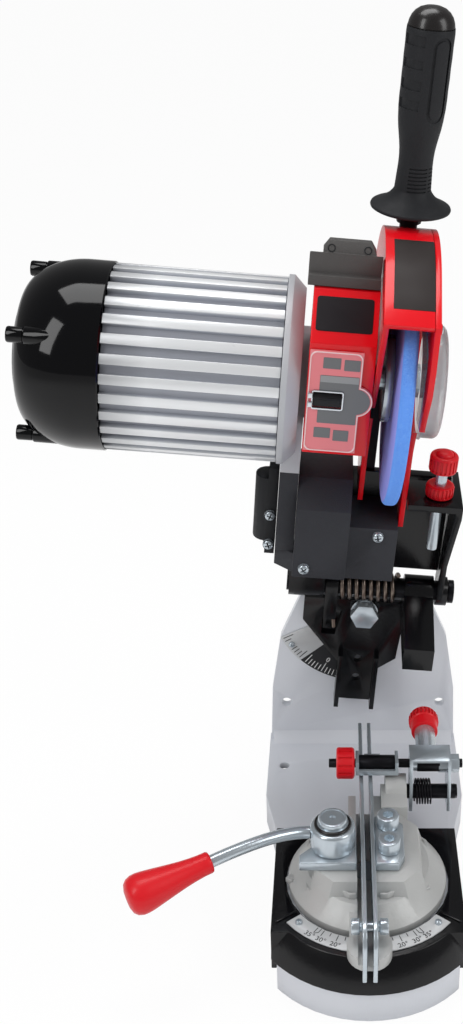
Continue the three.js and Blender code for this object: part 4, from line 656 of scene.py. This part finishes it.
def motor_dome():
    """Glossy dome with a stepped end disc and four stepped tubular pegs."""
    open_end, skirt_radius, skirt_length = -160.7, 53.4, 14
    disc_radius, dome_depth, steps = 30, 35.2, 25
    peg_circle, first_peg = 46.8, 55
    outward = rotation(-90, "Y")
    profile = [(52.7, 0), (skirt_radius, 0.6), (skirt_radius, skirt_length)]
    for i in range(1, steps):
        turn = math.radians(90 * i / steps)
        radius = disc_radius + (skirt_radius - disc_radius) * math.cos(turn)
        profile.append((radius, skirt_length + dome_depth * math.sin(turn)))
    profile += [(disc_radius, skirt_length + dome_depth), (29.5, 49.2), (29.3, 50), (28.5, 50.3),
                (25.2, 50.3), (24.9, 49.9), (0, 49.9)]
    dome = turned("dome_cap_shaped", profile, sides=128)
    fitted(dome, "dome_cap", "dome_black", SPINDLE @ shift(open_end, 0, 0) @ outward, instead=True, smooth=40)
    for i in range(4):
        turn = math.radians(first_peg + 90 * i)
        peg = turned("dome_peg_%d" % (i + 1), [
            (5.1, 10), (5.05, 39.6), (4.7, 40.2), (3.8, 40.3), (3.8, 40.8), (4.3, 41), (4.4, 48.8), (4, 49.6),
            (2.4, 49.9), (2.3, 46), (0, 46),
        ], sides=40)
        spot = SPINDLE @ shift(open_end, -peg_circle * math.sin(turn), peg_circle * math.cos(turn))
        fitted(peg, "dome_cap", "dome_black", spot @ outward)


def bell_skirt():
    """The bell's arm is black below the round of the bell."""
    round_low = 104
    bell = bpy.data.objects["end_bell_shaped"]
    edge, up = HEAD @ Vector((0, 0, round_low * MM)), (HEAD.to_3x3() @ UP).normalized()
    shaping(bell)
    bpy.ops.mesh.bisect(plane_co=edge, plane_no=up)
    bpy.ops.object.mode_set(mode="OBJECT")
    refinished(bell, "charcoal_moulding", lambda middle, normal: (middle - edge).dot(up) < 0)
    smoothed(bell, 35)


# Wheel, and the cap on its guard


def wheel():
    """Thin wheel with worn round corners: the sides get a paler violet copy of the grain, as painted light.
    """
    bore, flat, rim, corner, low, high = 7.3, 68, 72.5, 2.6, -1.7, 6.3
    turns = [math.radians(degrees) for degrees in range(0, 91, 15)]
    centre = rim - corner
    profile = [(bore, low), (bore, high), (flat, high)]
    profile += [(centre + corner * math.sin(turn), high - corner + corner * math.cos(turn)) for turn in turns]
    profile += [(centre + corner * math.cos(turn), low + corner - corner * math.sin(turn)) for turn in turns]
    profile += [(flat, low)]
    disc = turned("grinding_wheel_shaped", profile, sides=128, loop=True)
    fitted(disc, "grinding_wheel", "abrasive_blue", SPINDLE @ ALONG_X, instead=True, smooth=40)
    axle = (SPINDLE.to_3x3() @ RIGHT).normalized()
    # Painted light: the flat side faces take the paler violet copy of the abrasive
    refinished(disc, "abrasive_side", lambda middle, normal: abs(normal.dot(axle)) > 0.95)


def guard_cap():
    """Thin clear round cap on the guard's side."""
    foot, wall, inside, hole, corner = 33.5, 32.5, 31.2, 10, 3.9
    low, top, thickness = 15.6, 27.1, 1.1
    profile = [(foot, low), (foot, low + 1), (wall - 0.1, low + 1.4)]
    profile += arc_points(wall - corner, top - corner, corner, 0, 90, 6)
    profile += [(hole, top), (hole, top - thickness), (28, top - thickness), (inside, 23), (inside, low)]
    shell = turned("guard_cap_shaped", profile, sides=96, loop=True)
    fitted(shell, "guard_cap", "smoke_clear", SPINDLE @ ALONG_X, instead=True, smooth=40)
    centre = turned("cap_centre", [(hole + 0.2, top - thickness), (hole + 0.2, top)], sides=96)
    fitted(centre, "guard_cap", "smoke_clear", SPINDLE @ ALONG_X)


# Springs


def coil_spring(name, mean, wire, turns, length, sides=12, steps=32):
    """A coil along +Z from z = 0, screwed from a round section."""
    spring = started(name, bpy.ops.mesh.primitive_circle_add, vertices=sides, radius=wire / 2 * MM,
                     fill_type="NGON", rotation=(math.radians(90), 0, 0))
    shaping(spring)
    bpy.ops.transform.translate(value=(mean * MM, 0, 0))
    for _ in range(turns * steps):
        lift(length / turns / steps)
        bpy.ops.transform.rotate(value=math.radians(-360 / steps), orient_axis="Z", center_override=(0, 0, 0))
    shaped()
    return spring


def springs():
    """The head spring on the pivot and the small spring of the chain stop."""
    head = coil_spring("head_spring_shaped", mean=8.7, wire=2.8, turns=8, length=37.5)
    spot = TILT @ shift(-17.5, PIVOT_BACK, PIVOT_HEIGHT) @ ALONG_X @ rotation(90, "Z")
    fitted(head, "head_spring", "spring_steel", spot, instead=True, smooth=60)
    stop = coil_spring("stop_spring_shaped", mean=7.6, wire=1.1, turns=6, length=10, sides=10)
    spot = shift(30.5, 56, 59) @ ALONG_X @ rotation(270, "Z")
    fitted(stop, "stop_spring", "black_steel", spot, instead=True, smooth=60)


# Clamp lever


def clamp_hub():
    """Hub with a rubber ring and a capped screw."""
    ring_radius, ring_wire, ring_height, ring_flatness = 9.7, 1.1, 84.1, 0.9
    hub = turned("clamp_hub_shaped", [
        (12.2, 68.2), (13, 69), (13, 81.6), (12.4, 82.6), (11.4, 83.2), (9.6, 83.2), (9.6, 84.6), (9, 85),
        (8.4, 85),
    ])
    fitted(hub, "clamp_hub", "zinc_steel", CLAMP, instead=True)
    middle = (0, 0, ring_height * MM)
    ring = started("hub_ring", bpy.ops.mesh.primitive_torus_add, major_radius=ring_radius * MM,
                   minor_radius=ring_wire * MM, major_segments=64, minor_segments=12, location=middle)
    shaping(ring)
    bpy.ops.transform.resize(value=(1, 1, ring_flatness), center_override=middle)
    bpy.ops.object.mode_set(mode="OBJECT")
    fitted(ring, "clamp_hub", "cap_black", CLAMP)
    cap = turned("hub_cap", [
        (8.2, 84.2), (8.4, 84.6), (8.4, 87.6), (8, 88.3), (7.2, 88.6), (6.9, 88.6), (6.7, 88.1), (1.9, 88.1),
        (1.7, 87.2), (0, 87.2),
    ])
    fitted(cap, "clamp_hub", "zinc_steel", CLAMP)


def clamp_rod():
    """Bent round rod from the hub to the grip."""
    leave_all()
    bpy.ops.curve.primitive_bezier_curve_add()
    rod = bpy.context.active_object
    rod.name = "clamp_rod_shaped"
    start, lead, bend, end = [Vector(point) * MM for point in (ROD_START, ROD_LEAD, ROD_BEND, ROD_END)]
    first, last = rod.data.splines[0].bezier_points
    for point in (first, last):
        point.handle_left_type = point.handle_right_type = "FREE"
    first.co, first.handle_right, first.handle_left = start, lead, start + (start - lead)
    last.co, last.handle_left, last.handle_right = end, bend, end + (end - bend)
    rod.data.bevel_depth = ROD_RADIUS * MM
    rod.data.bevel_resolution = 6
    rod.data.resolution_u = 32
    rod.data.use_fill_caps = True
    alone(rod)
    bpy.ops.object.convert(target="MESH")
    rod = bpy.context.active_object
    shaping(rod)
    bpy.ops.mesh.remove_doubles(threshold=SAME_POINT_OF_ROD * MM)
    shaped()
    fitted(rod, "clamp_rod", "zinc_steel", instead=True, smooth=50)


def clamp_grip():
    """Tapered grip on the end of the rod."""
    grip = turned("clamp_grip_shaped", [
        (3.9, 2.4), (4, 0.3), (4.9, 0), (5.8, 0.4), (6.15, 1.4), (6.15, 3), (6.2, 6), (6.6, 11), (7.3, 16.5),
        (8.2, 22), (9.2, 27.5), (10.2, 33), (11, 37.6), (11.4, 41), (11.25, 44), (10.2, 46.9), (8.2, 48.8),
        (5, 49.8), (2, 50), (0, 50),
    ])
    mouth = Vector(GRIP_MOUTH)
    along = (mouth - Vector(ROD_BEND)).normalized()
    spot = shift(*(mouth + along * 0.3)) @ along.to_track_quat("Z", "Y").to_matrix().to_4x4()
    fitted(grip, "clamp_grip", "red_knob", spot, instead=True, smooth=50)


# Bare plates, switch and lamp


def guard_plate():
    """Bare dark plate on the guard's front, which follows the flat panel and the start of the arc."""
    lean = math.radians(64.5)
    panel_x, panel_y = math.sin(lean), math.cos(lean)
    top_x, top_y = -GUARD_RADIUS * math.cos(lean), GUARD_RADIUS * math.sin(lean)
    down_the_panel, arc_start, arc_end = (23, 12, 2), 115.5, 94
    left, right, proud, sunk = -9.3, 12, 0.25, -0.6

    def line(skin):
        panel = [(top_x - panel_x * down - panel_y * skin, top_y - panel_y * down + panel_x * skin)
                 for down in down_the_panel]
        return panel + arc_points(0, 0, GUARD_RADIUS + skin, arc_start, arc_end, 9)

    plate = slab("guard_plate", line(proud) + line(sunk)[::-1], left, right)
    rounded_edges(plate, 0.1)
    fitted(plate, "inner_guard", "plate_grey", SPINDLE @ ALONG_X)


def switch_plate():
    """Bare black plate with round corners on the slanted top of the switch cover."""
    slope = SPINDLE @ shift(0, -45, 39) @ rotation(52.3, "X")
    outline = rounded_outline(left=-47.8, right=-17.6, low=6.6, high=25.4, radius=1.6)
    plate = slab("switch_plate", outline, low=-0.4, high=0.3)
    rounded_edges(plate, 0.12)
    fitted(plate, "switch_cover", "plate_black", slope)


def round_lobe(name, radius, low, high):
    """The lobe at the right of the switch bezel."""
    return slab(name, arc_points(LOBE_X, LOBE_Y, radius, 0, 354, 59), low, high)


def bezel_form(name, shrink, low, high):
    """Round-cornered plate with a lobe at its right, smaller all round by the shrink."""
    left, right, bottom, top, lobe_radius = -49.2, -21.3, -24.2, 35.2, 8.7
    outline = rounded_outline(left + shrink, right - shrink, bottom + shrink, top - shrink, radius=3.4)
    lobe = round_lobe("lobe", lobe_radius - shrink, low, high)
    return carved(slab(name, outline, low, high), lobe, operation="UNION")


def rocker_frame():
    """Chrome frame round the rocker."""
    side_rim, end_rim = 0.85, 1.15
    outline = rounded_outline(ROCKER_LEFT, ROCKER_RIGHT, ROCKER_LOW, ROCKER_HIGH, radius=1.6)
    room = rounded_outline(ROCKER_LEFT + side_rim, ROCKER_RIGHT - side_rim, ROCKER_LOW + end_rim,
                           ROCKER_HIGH - end_rim, radius=0.5)
    piece = slab("rocker_frame", outline, low=-0.4, high=0.9)
    carved(piece, slab("frame_room", room, low=-2, high=2))
    rounded_edges(piece, 0.25)
    return piece


def switch_details():
    """Rim, grey field, four bare boxes, and the chrome round the rocker."""
    cover_front, sunk, skin, rim_width = 46.9, -0.4, 0.16, 0.55
    front = SPINDLE @ shift(0, -cover_front, 0) @ TO_FRONT

    def laid(piece, finish):
        fitted(piece, "switch_bezel", finish, front)

    rim = bezel_form("bezel_rim", shrink=0, low=sunk, high=0.35)
    laid(carved(rim, bezel_form("rim_room", shrink=rim_width, low=-1, high=1)), "rim_pale")
    outline = rounded_outline(left=-43.2, right=-22.2, low=-7, high=21.6, radius=0.6)
    field = slab("grey_field", outline, sunk, skin)
    carved(field, round_lobe("field_lobe", 7.6, sunk, skin), operation="UNION")
    room_low = (ROCKER_LEFT + 0.2, ROCKER_LOW + 0.1, -2)
    room_high = (ROCKER_RIGHT - 0.6, ROCKER_HIGH - 0.1, 2)
    laid(carved(field, box("rocker_room", room_low, room_high)), "field_grey")
    laid(box("pale_band", (-43, 17.6, 0), (-22.4, 21.4, 0.26)), "field_pale")
    boxes = ((-42.2, -32.8, 25.6, 32), (-31, -22.4, 25, 31.4), (-44.4, -35.4, -16, -9.8),
             (-33.8, -25.4, -17.4, -10.8))
    for number, sides in enumerate(boxes, 1):
        laid(slab("bare_box_%d" % number, rounded_outline(*sides, 0.4), sunk, skin), "field_grey")
    laid(rocker_frame(), "chrome")
    tab_left, tab_right, tab_floor, tab_top = -49, -46.5, -0.3, 1.8
    for number, (low, high) in enumerate(((2.6, 6), (8, 11.4)), 1):
        tab = box("rocker_tab_%d" % number, (tab_left, low, tab_floor), (tab_right, high, tab_top))
        rounded_edges(tab, 0.5)
        laid(tab, "chrome")


def lamp_holes():
    """Two small dark recesses with a rim in the front of the lamp's cap."""
    forward, up, lean = 20, 82.2, -28
    profile = [(2.1, -1), (2.1, 0.3), (1.6, 0.3), (1.5, -0.6), (0, -0.6)]
    for number, x in enumerate((-42.4, -23.2), 1):
        hole = turned("lamp_recess_%d" % number, profile, sides=24)
        spot = SPINDLE @ shift(x, -forward, up) @ TO_FRONT @ rotation(lean, "X")
        fitted(hole, "lamp_housing", "soft_black", spot)


# Arm, bracket, turntable and scale cover


def arm_shade_web():
    """Black upright sheet behind the wheel, beside the inner guard: the arm's face, and painted shade in the
    gap.
    """
    left, right, low, high, thickness, back = -13.6, -3.4, -78, 60, 3, 31
    # A dark sheet that paints the shade behind the wheel as well as standing for the arm's face
    web = slab("arm_shade_web", [(left, low), (right, low), (right, high), (left, high)], 0, thickness)
    rounded_edges(web, 0.6)
    fitted(web, "head_arm", "charcoal_moulding", SPINDLE @ shift(0, back, 0) @ TO_FRONT)


def bracket_window():
    """Dark box behind the bracket's window as painted shade, with the straight leg of the head spring."""
    radius, length, bevel, lean = 1.4, 15.7, 0.3, -8
    # Painted shade: a gloss black box fills the window's dark inside
    pocket = box("window_painted_shade", low=(-27.6, 151.2, 113.4), high=(-13.4, 152.8, 133.6))
    rounded_edges(pocket, 0.3)
    fitted(pocket, "tilt_bracket", "gloss_black", TILT)
    profile = [(radius - bevel, 0), (radius, bevel), (radius, length - bevel), (radius - bevel, length)]
    profile += [(0, length)]
    leg = turned("spring_leg", profile, sides=20)
    fitted(leg, "head_spring", "spring_steel", TILT @ shift(-19, 149.9, 119) @ rotation(lean, "Y"))


def turntable_ridges():
    """Two stepped ledges round the platform, and the pointer at the left."""
    foot, outer_top, inner_top = 43.2, 50.4, 56.6
    ledge_edge, step_width, step_depth, lip = 1.4, 1.2, 1, 0.5
    outer = [(36, 21), (27, 30), (-27, 30), (-36, 21), (-36, -19), (-12, -36), (12, -36), (36, -19)]
    inner = [(32, 19), (24, 28), (-24, 28), (-32, 19), (-32, -17), (-11, -31), (11, -31), (32, -17)]
    for name, outline, top in (("outer_ledge", outer, outer_top), ("inner_ledge", inner, inner_top)):
        ledge = slab(name, outline, foot, top)
        shaping(ledge)
        pick(ledge, lambda middle, normal: normal.z > 0.9)
        inset(ledge_edge)
        pull(-step_depth)
        inset(step_width)
        pull(lip)
        bpy.ops.object.mode_set(mode="OBJECT")
        carved(ledge, box("rail_room", (-7, -60, 40), (6.6, 60, 70)))
        rounded_edges(ledge, 0.5)
        fitted(ledge, "turntable", "cast_turntable")
    pointer = slab("pointer", [(-44.6, -9), (-48.2, -5.6), (-44.6, -2.2), (-41, -5.6)], 42, 45.6)
    rounded_edges(pointer, 0.5)
    fitted(pointer, "turntable", "cast_turntable")


def cover_ribs():
    """Rounded ribs that bound the cover's front panel, drawn in a plane through the turntable's axis."""
    bearing, half_width = 56, 0.8
    outline = [(49.4, 39.2), (62, 39.2), (65, 33.4), (66.2, 34), (63, 40.9), (49.4, 40.9)]
    for side in (-1, 1):
        turn = math.radians(-90 + side * bearing)
        across, along = math.cos(turn), math.sin(turn)
        upright = Matrix(((across, 0, along, 0), (along, 0, -across, 0), (0, 1, 0, 0), (0, 0, 0, 1)))
        rib = slab("cover_rib", outline, -half_width, half_width)
        rounded_edges(rib, 0.5)
        fitted(rib, "scale_cover", "black_paint", upright)


# Screws and sleeves


def socket_screws():
    """Socket heads of the two rail screws."""
    x, seat, socket_radius, socket_floor = 12.2, 68.2, 3.4, 3.6
    profile = [(6.2, 0), (6.5, 0.3), (6.5, 7.1), (6.2, 7.7), (5.6, 8), (0, 8)]
    for node, y in (("rear_rail_screw", 13.8), ("front_rail_screw", -6.7)):
        head = turned(node + "_shaped", profile, sides=48)
        carved(head, turned("socket", [(socket_radius, socket_floor), (socket_radius, 9)], sides=6))
        fitted(head, node, "zinc_steel", shift(x, y, seat), instead=True, smooth=30)


def sleeves():
    """Black sleeves on the cross screw of the chain stop."""
    radius, end_radius, bevel = 5.15, 4.9, 0.4
    for name, node, start, end in (("carriage_sleeve", "stop_carriage", -4.6, 18.2),
                                   ("bracket_sleeve", "stop_bracket", 31.8, 46)):
        profile = [(end_radius, start), (radius, start + bevel), (radius, end - bevel), (end_radius, end)]
        sleeve = turned(name, profile, sides=40)
        fitted(sleeve, node, "black_steel", CROSS_SCREW)


def cross_head():
    """A domed head with a cross recess, one millimetre in radius."""
    half_slot, slot_floor = 0.13, 0.62
    head = turned("cross_screw", [
        (0.96, 0), (1, 0.06), (1, 0.36), (0.93, 0.6), (0.76, 0.78), (0.5, 0.9), (0.25, 0.95), (0, 0.96),
    ], sides=40)
    across = box("slot_across", (-0.6, -half_slot, slot_floor), (0.6, half_slot, 2))
    up = box("slot_up", (-half_slot, -0.6, slot_floor), (half_slot, 0.6, 2))
    return carved(head, across, up)


def cross_screws():
    """Cross-headed screws, modelled once and copied; each size is a head's radius and height."""
    cover_size, guard_size, scale_size = (3.5, 3.4), (3.1, 3.6), (2.1, 2)
    pattern = cross_head()
    pattern.name = "cross_screw_pattern"

    def copy(name, node, spot, size):
        radius, height = size
        piece = pattern.copy()
        piece.data = pattern.data.copy()
        piece.name = name
        bpy.context.scene.collection.objects.link(piece)
        fitted(piece, node, "zinc_steel", spot @ Matrix.Diagonal((radius, radius, height, 1)), smooth=30)

    def facing(place, x, y, z, slot_turn):
        return place @ shift(x, y, z) @ TO_FRONT @ rotation(slot_turn, "Z")

    on_cover = ((0, -39, 63.9, 12), (-43.2, -49, 43.8, 40))
    on_clamp = ((-65.7, -27, 45.2, 20), (-65.7, -27, 66.2, 70))
    head_screws = (("cover_screw", "arm_cover", on_cover), ("clamp_screw", "cable_clamp", on_clamp))
    for name, node, places in head_screws:
        for number, place in enumerate(places, 1):
            copy("%s_%d" % (name, number), node, facing(HEAD, *place), cover_size)
    guard_face, guard_shares = 15.3, ((-0.55, 0.62), (0.35, 0.72), (0.55, -0.45))
    for number, (back_share, up_share) in enumerate(guard_shares, 1):
        spot = SPINDLE @ shift(guard_face, GUARD_RADIUS * back_share, GUARD_RADIUS * up_share) @ ALONG_X
        copy("guard_screw_%d" % number, "outer_guard", spot, guard_size)
    circle, bearing, seat = 54, 47, SCALE_TOP + 0.1
    for number, side in enumerate((-1, 1), 1):
        spot = shift(*polar(circle, side * bearing - 90), seat)
        copy("scale_screw_%d" % number, "angle_scale_plate", spot, scale_size)
    tilt_circle, tilt_bearing = 58, 213
    across, up = polar(tilt_circle, tilt_bearing)
    spot = facing(WORLD, across, TILT_SCALE_FRONT, TILT_BOLT_HEIGHT + up, 30)
    copy("tilt_scale_screw", "tilt_scale_plate", spot, scale_size)
    bpy.data.objects.remove(pattern, do_unlink=True)


# Scale marks: ticks and plain numbers


def together(name, pieces):
    """Joins pieces into one."""
    leave_all()
    for piece in pieces:
        piece.select_set(True)
    bpy.context.view_layer.objects.active = pieces[0]
    bpy.ops.object.join()
    whole = bpy.context.active_object
    whole.name = name
    return whole


def lettering(name, text, height, depth):
    """Plain lettering in the x-y plane, centred, as a mesh, with digits of the height."""
    size_of_height = 1.42
    leave_all()
    bpy.ops.object.text_add()
    line = bpy.context.active_object
    line.name = name
    line.data.body = text
    line.data.size = height * MM * size_of_height
    line.data.align_x, line.data.align_y = "CENTER", "CENTER"
    line.data.extrude = depth / 2 * MM
    line.data.resolution_u = 3
    bpy.ops.object.convert(target="MESH")
    return bpy.context.active_object


def stroke(start, end, width, low, high):
    """A thin mark between two points of the x-y plane."""
    aim = Vector((end[0] - start[0], end[1] - start[1])).normalized() * width / 2
    outline = [(start[0] + aim.y, start[1] - aim.x), (end[0] + aim.y, end[1] - aim.x),
               (end[0] - aim.y, end[1] + aim.x), (start[0] - aim.y, start[1] + aim.x)]
    return slab("stroke", outline, low, high)


def polar(radius, degrees):
    return radius * math.cos(math.radians(degrees)), radius * math.sin(math.radians(degrees))


def angle_marks():
    """Ticks and degrees on the scale in front of the turntable."""
    start, long_tick, short_tick, tick_width, leader_width = 49.6, 4.4, 2.4, 0.42, 0.4
    leader_bend, leader_end, leader_angles = 52.6, 54.4, (32.4, 32.6, 34.6)
    words = (("35\u00b0", 36.2), ("30\u00b0", 28.6), ("20\u00b0", 19.6), ("10\u00b0", 10))
    words_at, word_height, word_depth = 56.6, 3.2, 0.2
    top = SCALE_TOP + 0.22
    marks = []
    for angle in range(-35, 36, 5):
        length = long_tick if angle % 10 == 0 or abs(angle) == 35 else short_tick
        ends = polar(start, angle - 90), polar(start + length, angle - 90)
        marks.append(stroke(*ends, tick_width, SCALE_TOP, top))
    for side in (-1, 1):
        first, middle, last = [side * angle - 90 for angle in leader_angles]
        bend = polar(leader_bend, middle)
        marks.append(stroke(polar(start, first), bend, leader_width, SCALE_TOP, top))
        marks.append(stroke(bend, polar(leader_end, last), leader_width, SCALE_TOP, top))
        for text, angle in words:
            word = lettering("degrees", text, word_height, word_depth)
            spot = shift(*polar(words_at, side * angle - 90), SCALE_TOP + 0.14)
            placed(word, spot @ rotation(side * angle, "Z"))
            marks.append(word)
    fitted(together("angle_marks", marks), "angle_scale_plate", "lettering_black")


def tilt_marks():
    """Black band, ticks and a zero on the scale beside the tilt bracket."""
    band_inner, band_outer, band_start, band_end = 40.4, 61.6, 226, 255.6
    tick_outer, long_tick, short_tick, tick_width = 60.6, 7.4, 4.6, 0.5
    face = shift(0, TILT_SCALE_FRONT, TILT_BOLT_HEIGHT) @ TO_FRONT
    outline = arc_points(0, 0, band_outer, band_start, band_end, 12)
    outline += arc_points(0, 0, band_inner, band_end, band_start + 4, 12)
    fitted(slab("tilt_band", outline, -0.3, 0.12), "tilt_scale_plate", "lettering_black", face)

    def ticks(name, angles, finish, height):
        marks = []
        for count, angle in enumerate(angles):
            length = short_tick if count % 5 else long_tick
            ends = polar(tick_outer - length, angle), polar(tick_outer, angle)
            marks.append(stroke(*ends, tick_width, -0.1, height))
        fitted(together(name, marks), "tilt_scale_plate", finish, face)

    ticks("black_ticks", [206.5, 209, 216.5, 219, 221.5, 224], "lettering_black", height=0.15)
    ticks("white_ticks", [229 + 2.5 * i for i in range(10)], "lettering_white", height=0.25)
    zero_circle, zero_bearing, zero_turn = 50.5, 241.5, -28
    zero = lettering("zero", "0", height=3.6, depth=0.3)
    placed(zero, shift(*polar(zero_circle, zero_bearing), 0.1) @ rotation(zero_turn, "Z"))
    fitted(zero, "tilt_scale_plate", "lettering_white", face)


# Red knobs

FACETS = 4


def knob(node, place, profile, teeth, low, high, deep, wide):
    """A round knob: grooves some facets wide are pressed into its side between two heights."""
    sides = teeth * FACETS
    piece = turned(node + "_shaped", profile, sides)

    def groove(middle, normal):
        facet = int((math.degrees(math.atan2(middle.y, middle.x)) % 360) / 360 * sides)
        outward = abs(normal.z) < 0.5 and math.hypot(middle.x, middle.y) > profile[1][0] * 0.8
        return outward and facet % FACETS < wide and low < middle.z < high

    shaping(piece)
    pick(piece, groove)
    pull(-deep)
    bpy.ops.object.mode_set(mode="OBJECT")
    rounded_edges(piece, 0.18, segments=1, angle=50)
    fitted(piece, node, "red_knob", place, instead=True, smooth=35)


def knob_rim(radius, height, dish):
    """Outline of a knob with round corners and a dished top."""
    return [(radius - 1.4, 0), (radius - 0.3, 0.5), (radius, 1.4), (radius, height - 1.6),
            (radius - 0.5, height - 0.6), (radius - 1.6, height), (radius - 2.4, height),
            (radius - 3, height - dish), (0, height - dish)]


def knobs():
    """The two knobs of the depth rod and the two of the chain stop."""
    rod_x, rod_forward, rod_knob_radius = 35, 24, 8.6

    def on_rod(height):
        return HEAD @ shift(rod_x, -rod_forward, height)

    lock_rim = knob_rim(rod_knob_radius, height=8, dish=0.4)
    knob("depth_lock_knob", on_rod(87.3), lock_rim, teeth=20, low=1, high=7, deep=0.9, wide=2)
    depth_rim = knob_rim(rod_knob_radius, height=11, dish=0.5)
    knob("depth_knob", on_rod(104.5), depth_rim, teeth=20, low=1, high=9.6, deep=0.9, wide=2)
    at_left = shift(-18.4, CROSS_SCREW_BACK, CROSS_SCREW_HEIGHT) @ ALONG_X
    stop_rim = knob_rim(radius=9.7, height=11.4, dish=0.4)
    knob("stop_knob", at_left, stop_rim, teeth=12, low=1, high=10, deep=1.1, wide=1)
    button = turned("depth_knob_button", [(5.4, 0), (5.2, 1.2), (4.4, 2.2), (3, 2.8), (0, 3)], sides=40)
    fitted(button, "depth_knob", "red_knob", on_rod(114.8))
    crown = [(7.6, 0), (8.3, 0.4), (8.5, 1), (8.5, 8.4), (9.5, 9.2), (9.7, 10), (9.7, 14.6), (9, 16.2),
             (7.8, 17), (6.6, 17), (5.8, 16.3), (0, 16.3)]
    at_back = shift(38.5, 93.3, CROSS_SCREW_HEIGHT) @ rotation(-90, "X")
    knob("feed_knob", at_back, crown, teeth=24, low=9.3, high=16.8, deep=1, wide=2)


for node, width in EDGE_WIDTHS.items():
    dressed(node, width)
handle_grip()
grip_end_cap()
motor_dome()
wheel()
guard_cap()
springs()
clamp_hub()
clamp_rod()
clamp_grip()
guard_plate()
switch_plate()
switch_details()
cross_screws()
angle_marks()
tilt_marks()
lamp_holes()
knobs()
bell_skirt()
arm_shade_web()
bracket_window()
turntable_ridges()
cover_ribs()
socket_screws()
sleeves()


# Stage, light and camera

FLOOR_COLOUR = (243.45, 243.45, 243.45)
FLOOR_SHARE_SEEN_WHITE = 0.94
STUDIO_FILL, STUDIO_MIRRORED = 0.56, 0.22


def stage_floor():
    """Pale floor that the camera sees almost white, under the object's shadow."""
    floor = started("pale_floor", bpy.ops.mesh.primitive_plane_add, size=12, location=(0, 1, -0.0005))
    look = Finish("pale_floor", FLOOR_COLOUR, 0.9)
    seen = look.node("ShaderNodeLightPath", {}, {})["Is Camera Ray"] * FLOOR_SHARE_SEEN_WHITE
    white = look.node("ShaderNodeEmission", {}, {"Color": (1, 1, 1, 1)})["Emission"]
    painted_floor = Value(look, look.shader.outputs["BSDF"])
    mixed = look.node("ShaderNodeMixShader", {}, {0: seen, 1: painted_floor, 2: white})["Shader"]
    look.feed(look.tree.nodes["Material Output"].inputs["Surface"], mixed)
    floor.data.materials.append(look.material)


def studio_world():
    """White for the camera and through clear pieces, a soft fill elsewhere, and dim in mirrors."""
    world = bpy.data.worlds.new("studio")
    bpy.context.scene.world = world
    world.use_nodes = True
    studio = Graph(world.node_tree)
    paths = studio.node("ShaderNodeLightPath", {}, {})
    seen = paths["Is Camera Ray"].at_least(paths["Is Transmission Ray"]) * (1 - STUDIO_FILL) + STUDIO_FILL
    strength = seen - paths["Is Glossy Ray"] * (STUDIO_FILL - STUDIO_MIRRORED)
    light = studio.tree.nodes["Background"]
    studio.feed(light.inputs["Color"], (1, 1, 1, 1))
    studio.feed(light.inputs["Strength"], strength)


def softbox(name, place, target, size, power):
    """A rectangular lamp aimed at a point, in metres and watts."""
    lamp = bpy.data.lights.new(name, "AREA")
    lamp.shape = "RECTANGLE"
    lamp.size, lamp.size_y = size
    lamp.energy = power
    holder = bpy.data.objects.new(name, lamp)
    holder.location = place
    aim = Vector(target) - Vector(place)
    holder.rotation_euler = aim.to_track_quat("-Z", "Y").to_euler()
    bpy.context.scene.collection.objects.link(holder)


def photo_camera():
    """The camera that was fitted to the photo, in metres and degrees."""
    place, tilt, focal_length, sideways = (-0.0173, -0.577, 0.577), 63, 45, -0.104
    lens = bpy.data.cameras.new("photo_camera")
    lens.sensor_fit = "VERTICAL"
    lens.sensor_height = 36
    lens.lens = focal_length
    lens.shift_x = sideways
    lens.clip_start = 0.01
    holder = bpy.data.objects.new("photo_camera", lens)
    holder.location = place
    holder.rotation_euler = (math.radians(tilt), 0, 0)
    bpy.context.scene.collection.objects.link(holder)
    bpy.context.scene.camera = holder


stage_floor()
studio_world()
softbox("left_softbox", (-0.9, -0.7, 1.1), target=(-0.05, 0.05, 0.25), size=(0.4, 0.9), power=6)
softbox("right_softbox", (1.0, -0.4, 0.9), target=(0, 0.05, 0.2), size=(0.5, 0.8), power=4.5)
softbox("top_softbox", (-0.1, 0.3, 1.4), target=(0, 0.05, 0.2), size=(0.9, 0.5), power=6.5)
photo_camera()
bpy.context.scene.view_settings.view_transform = "Standard"
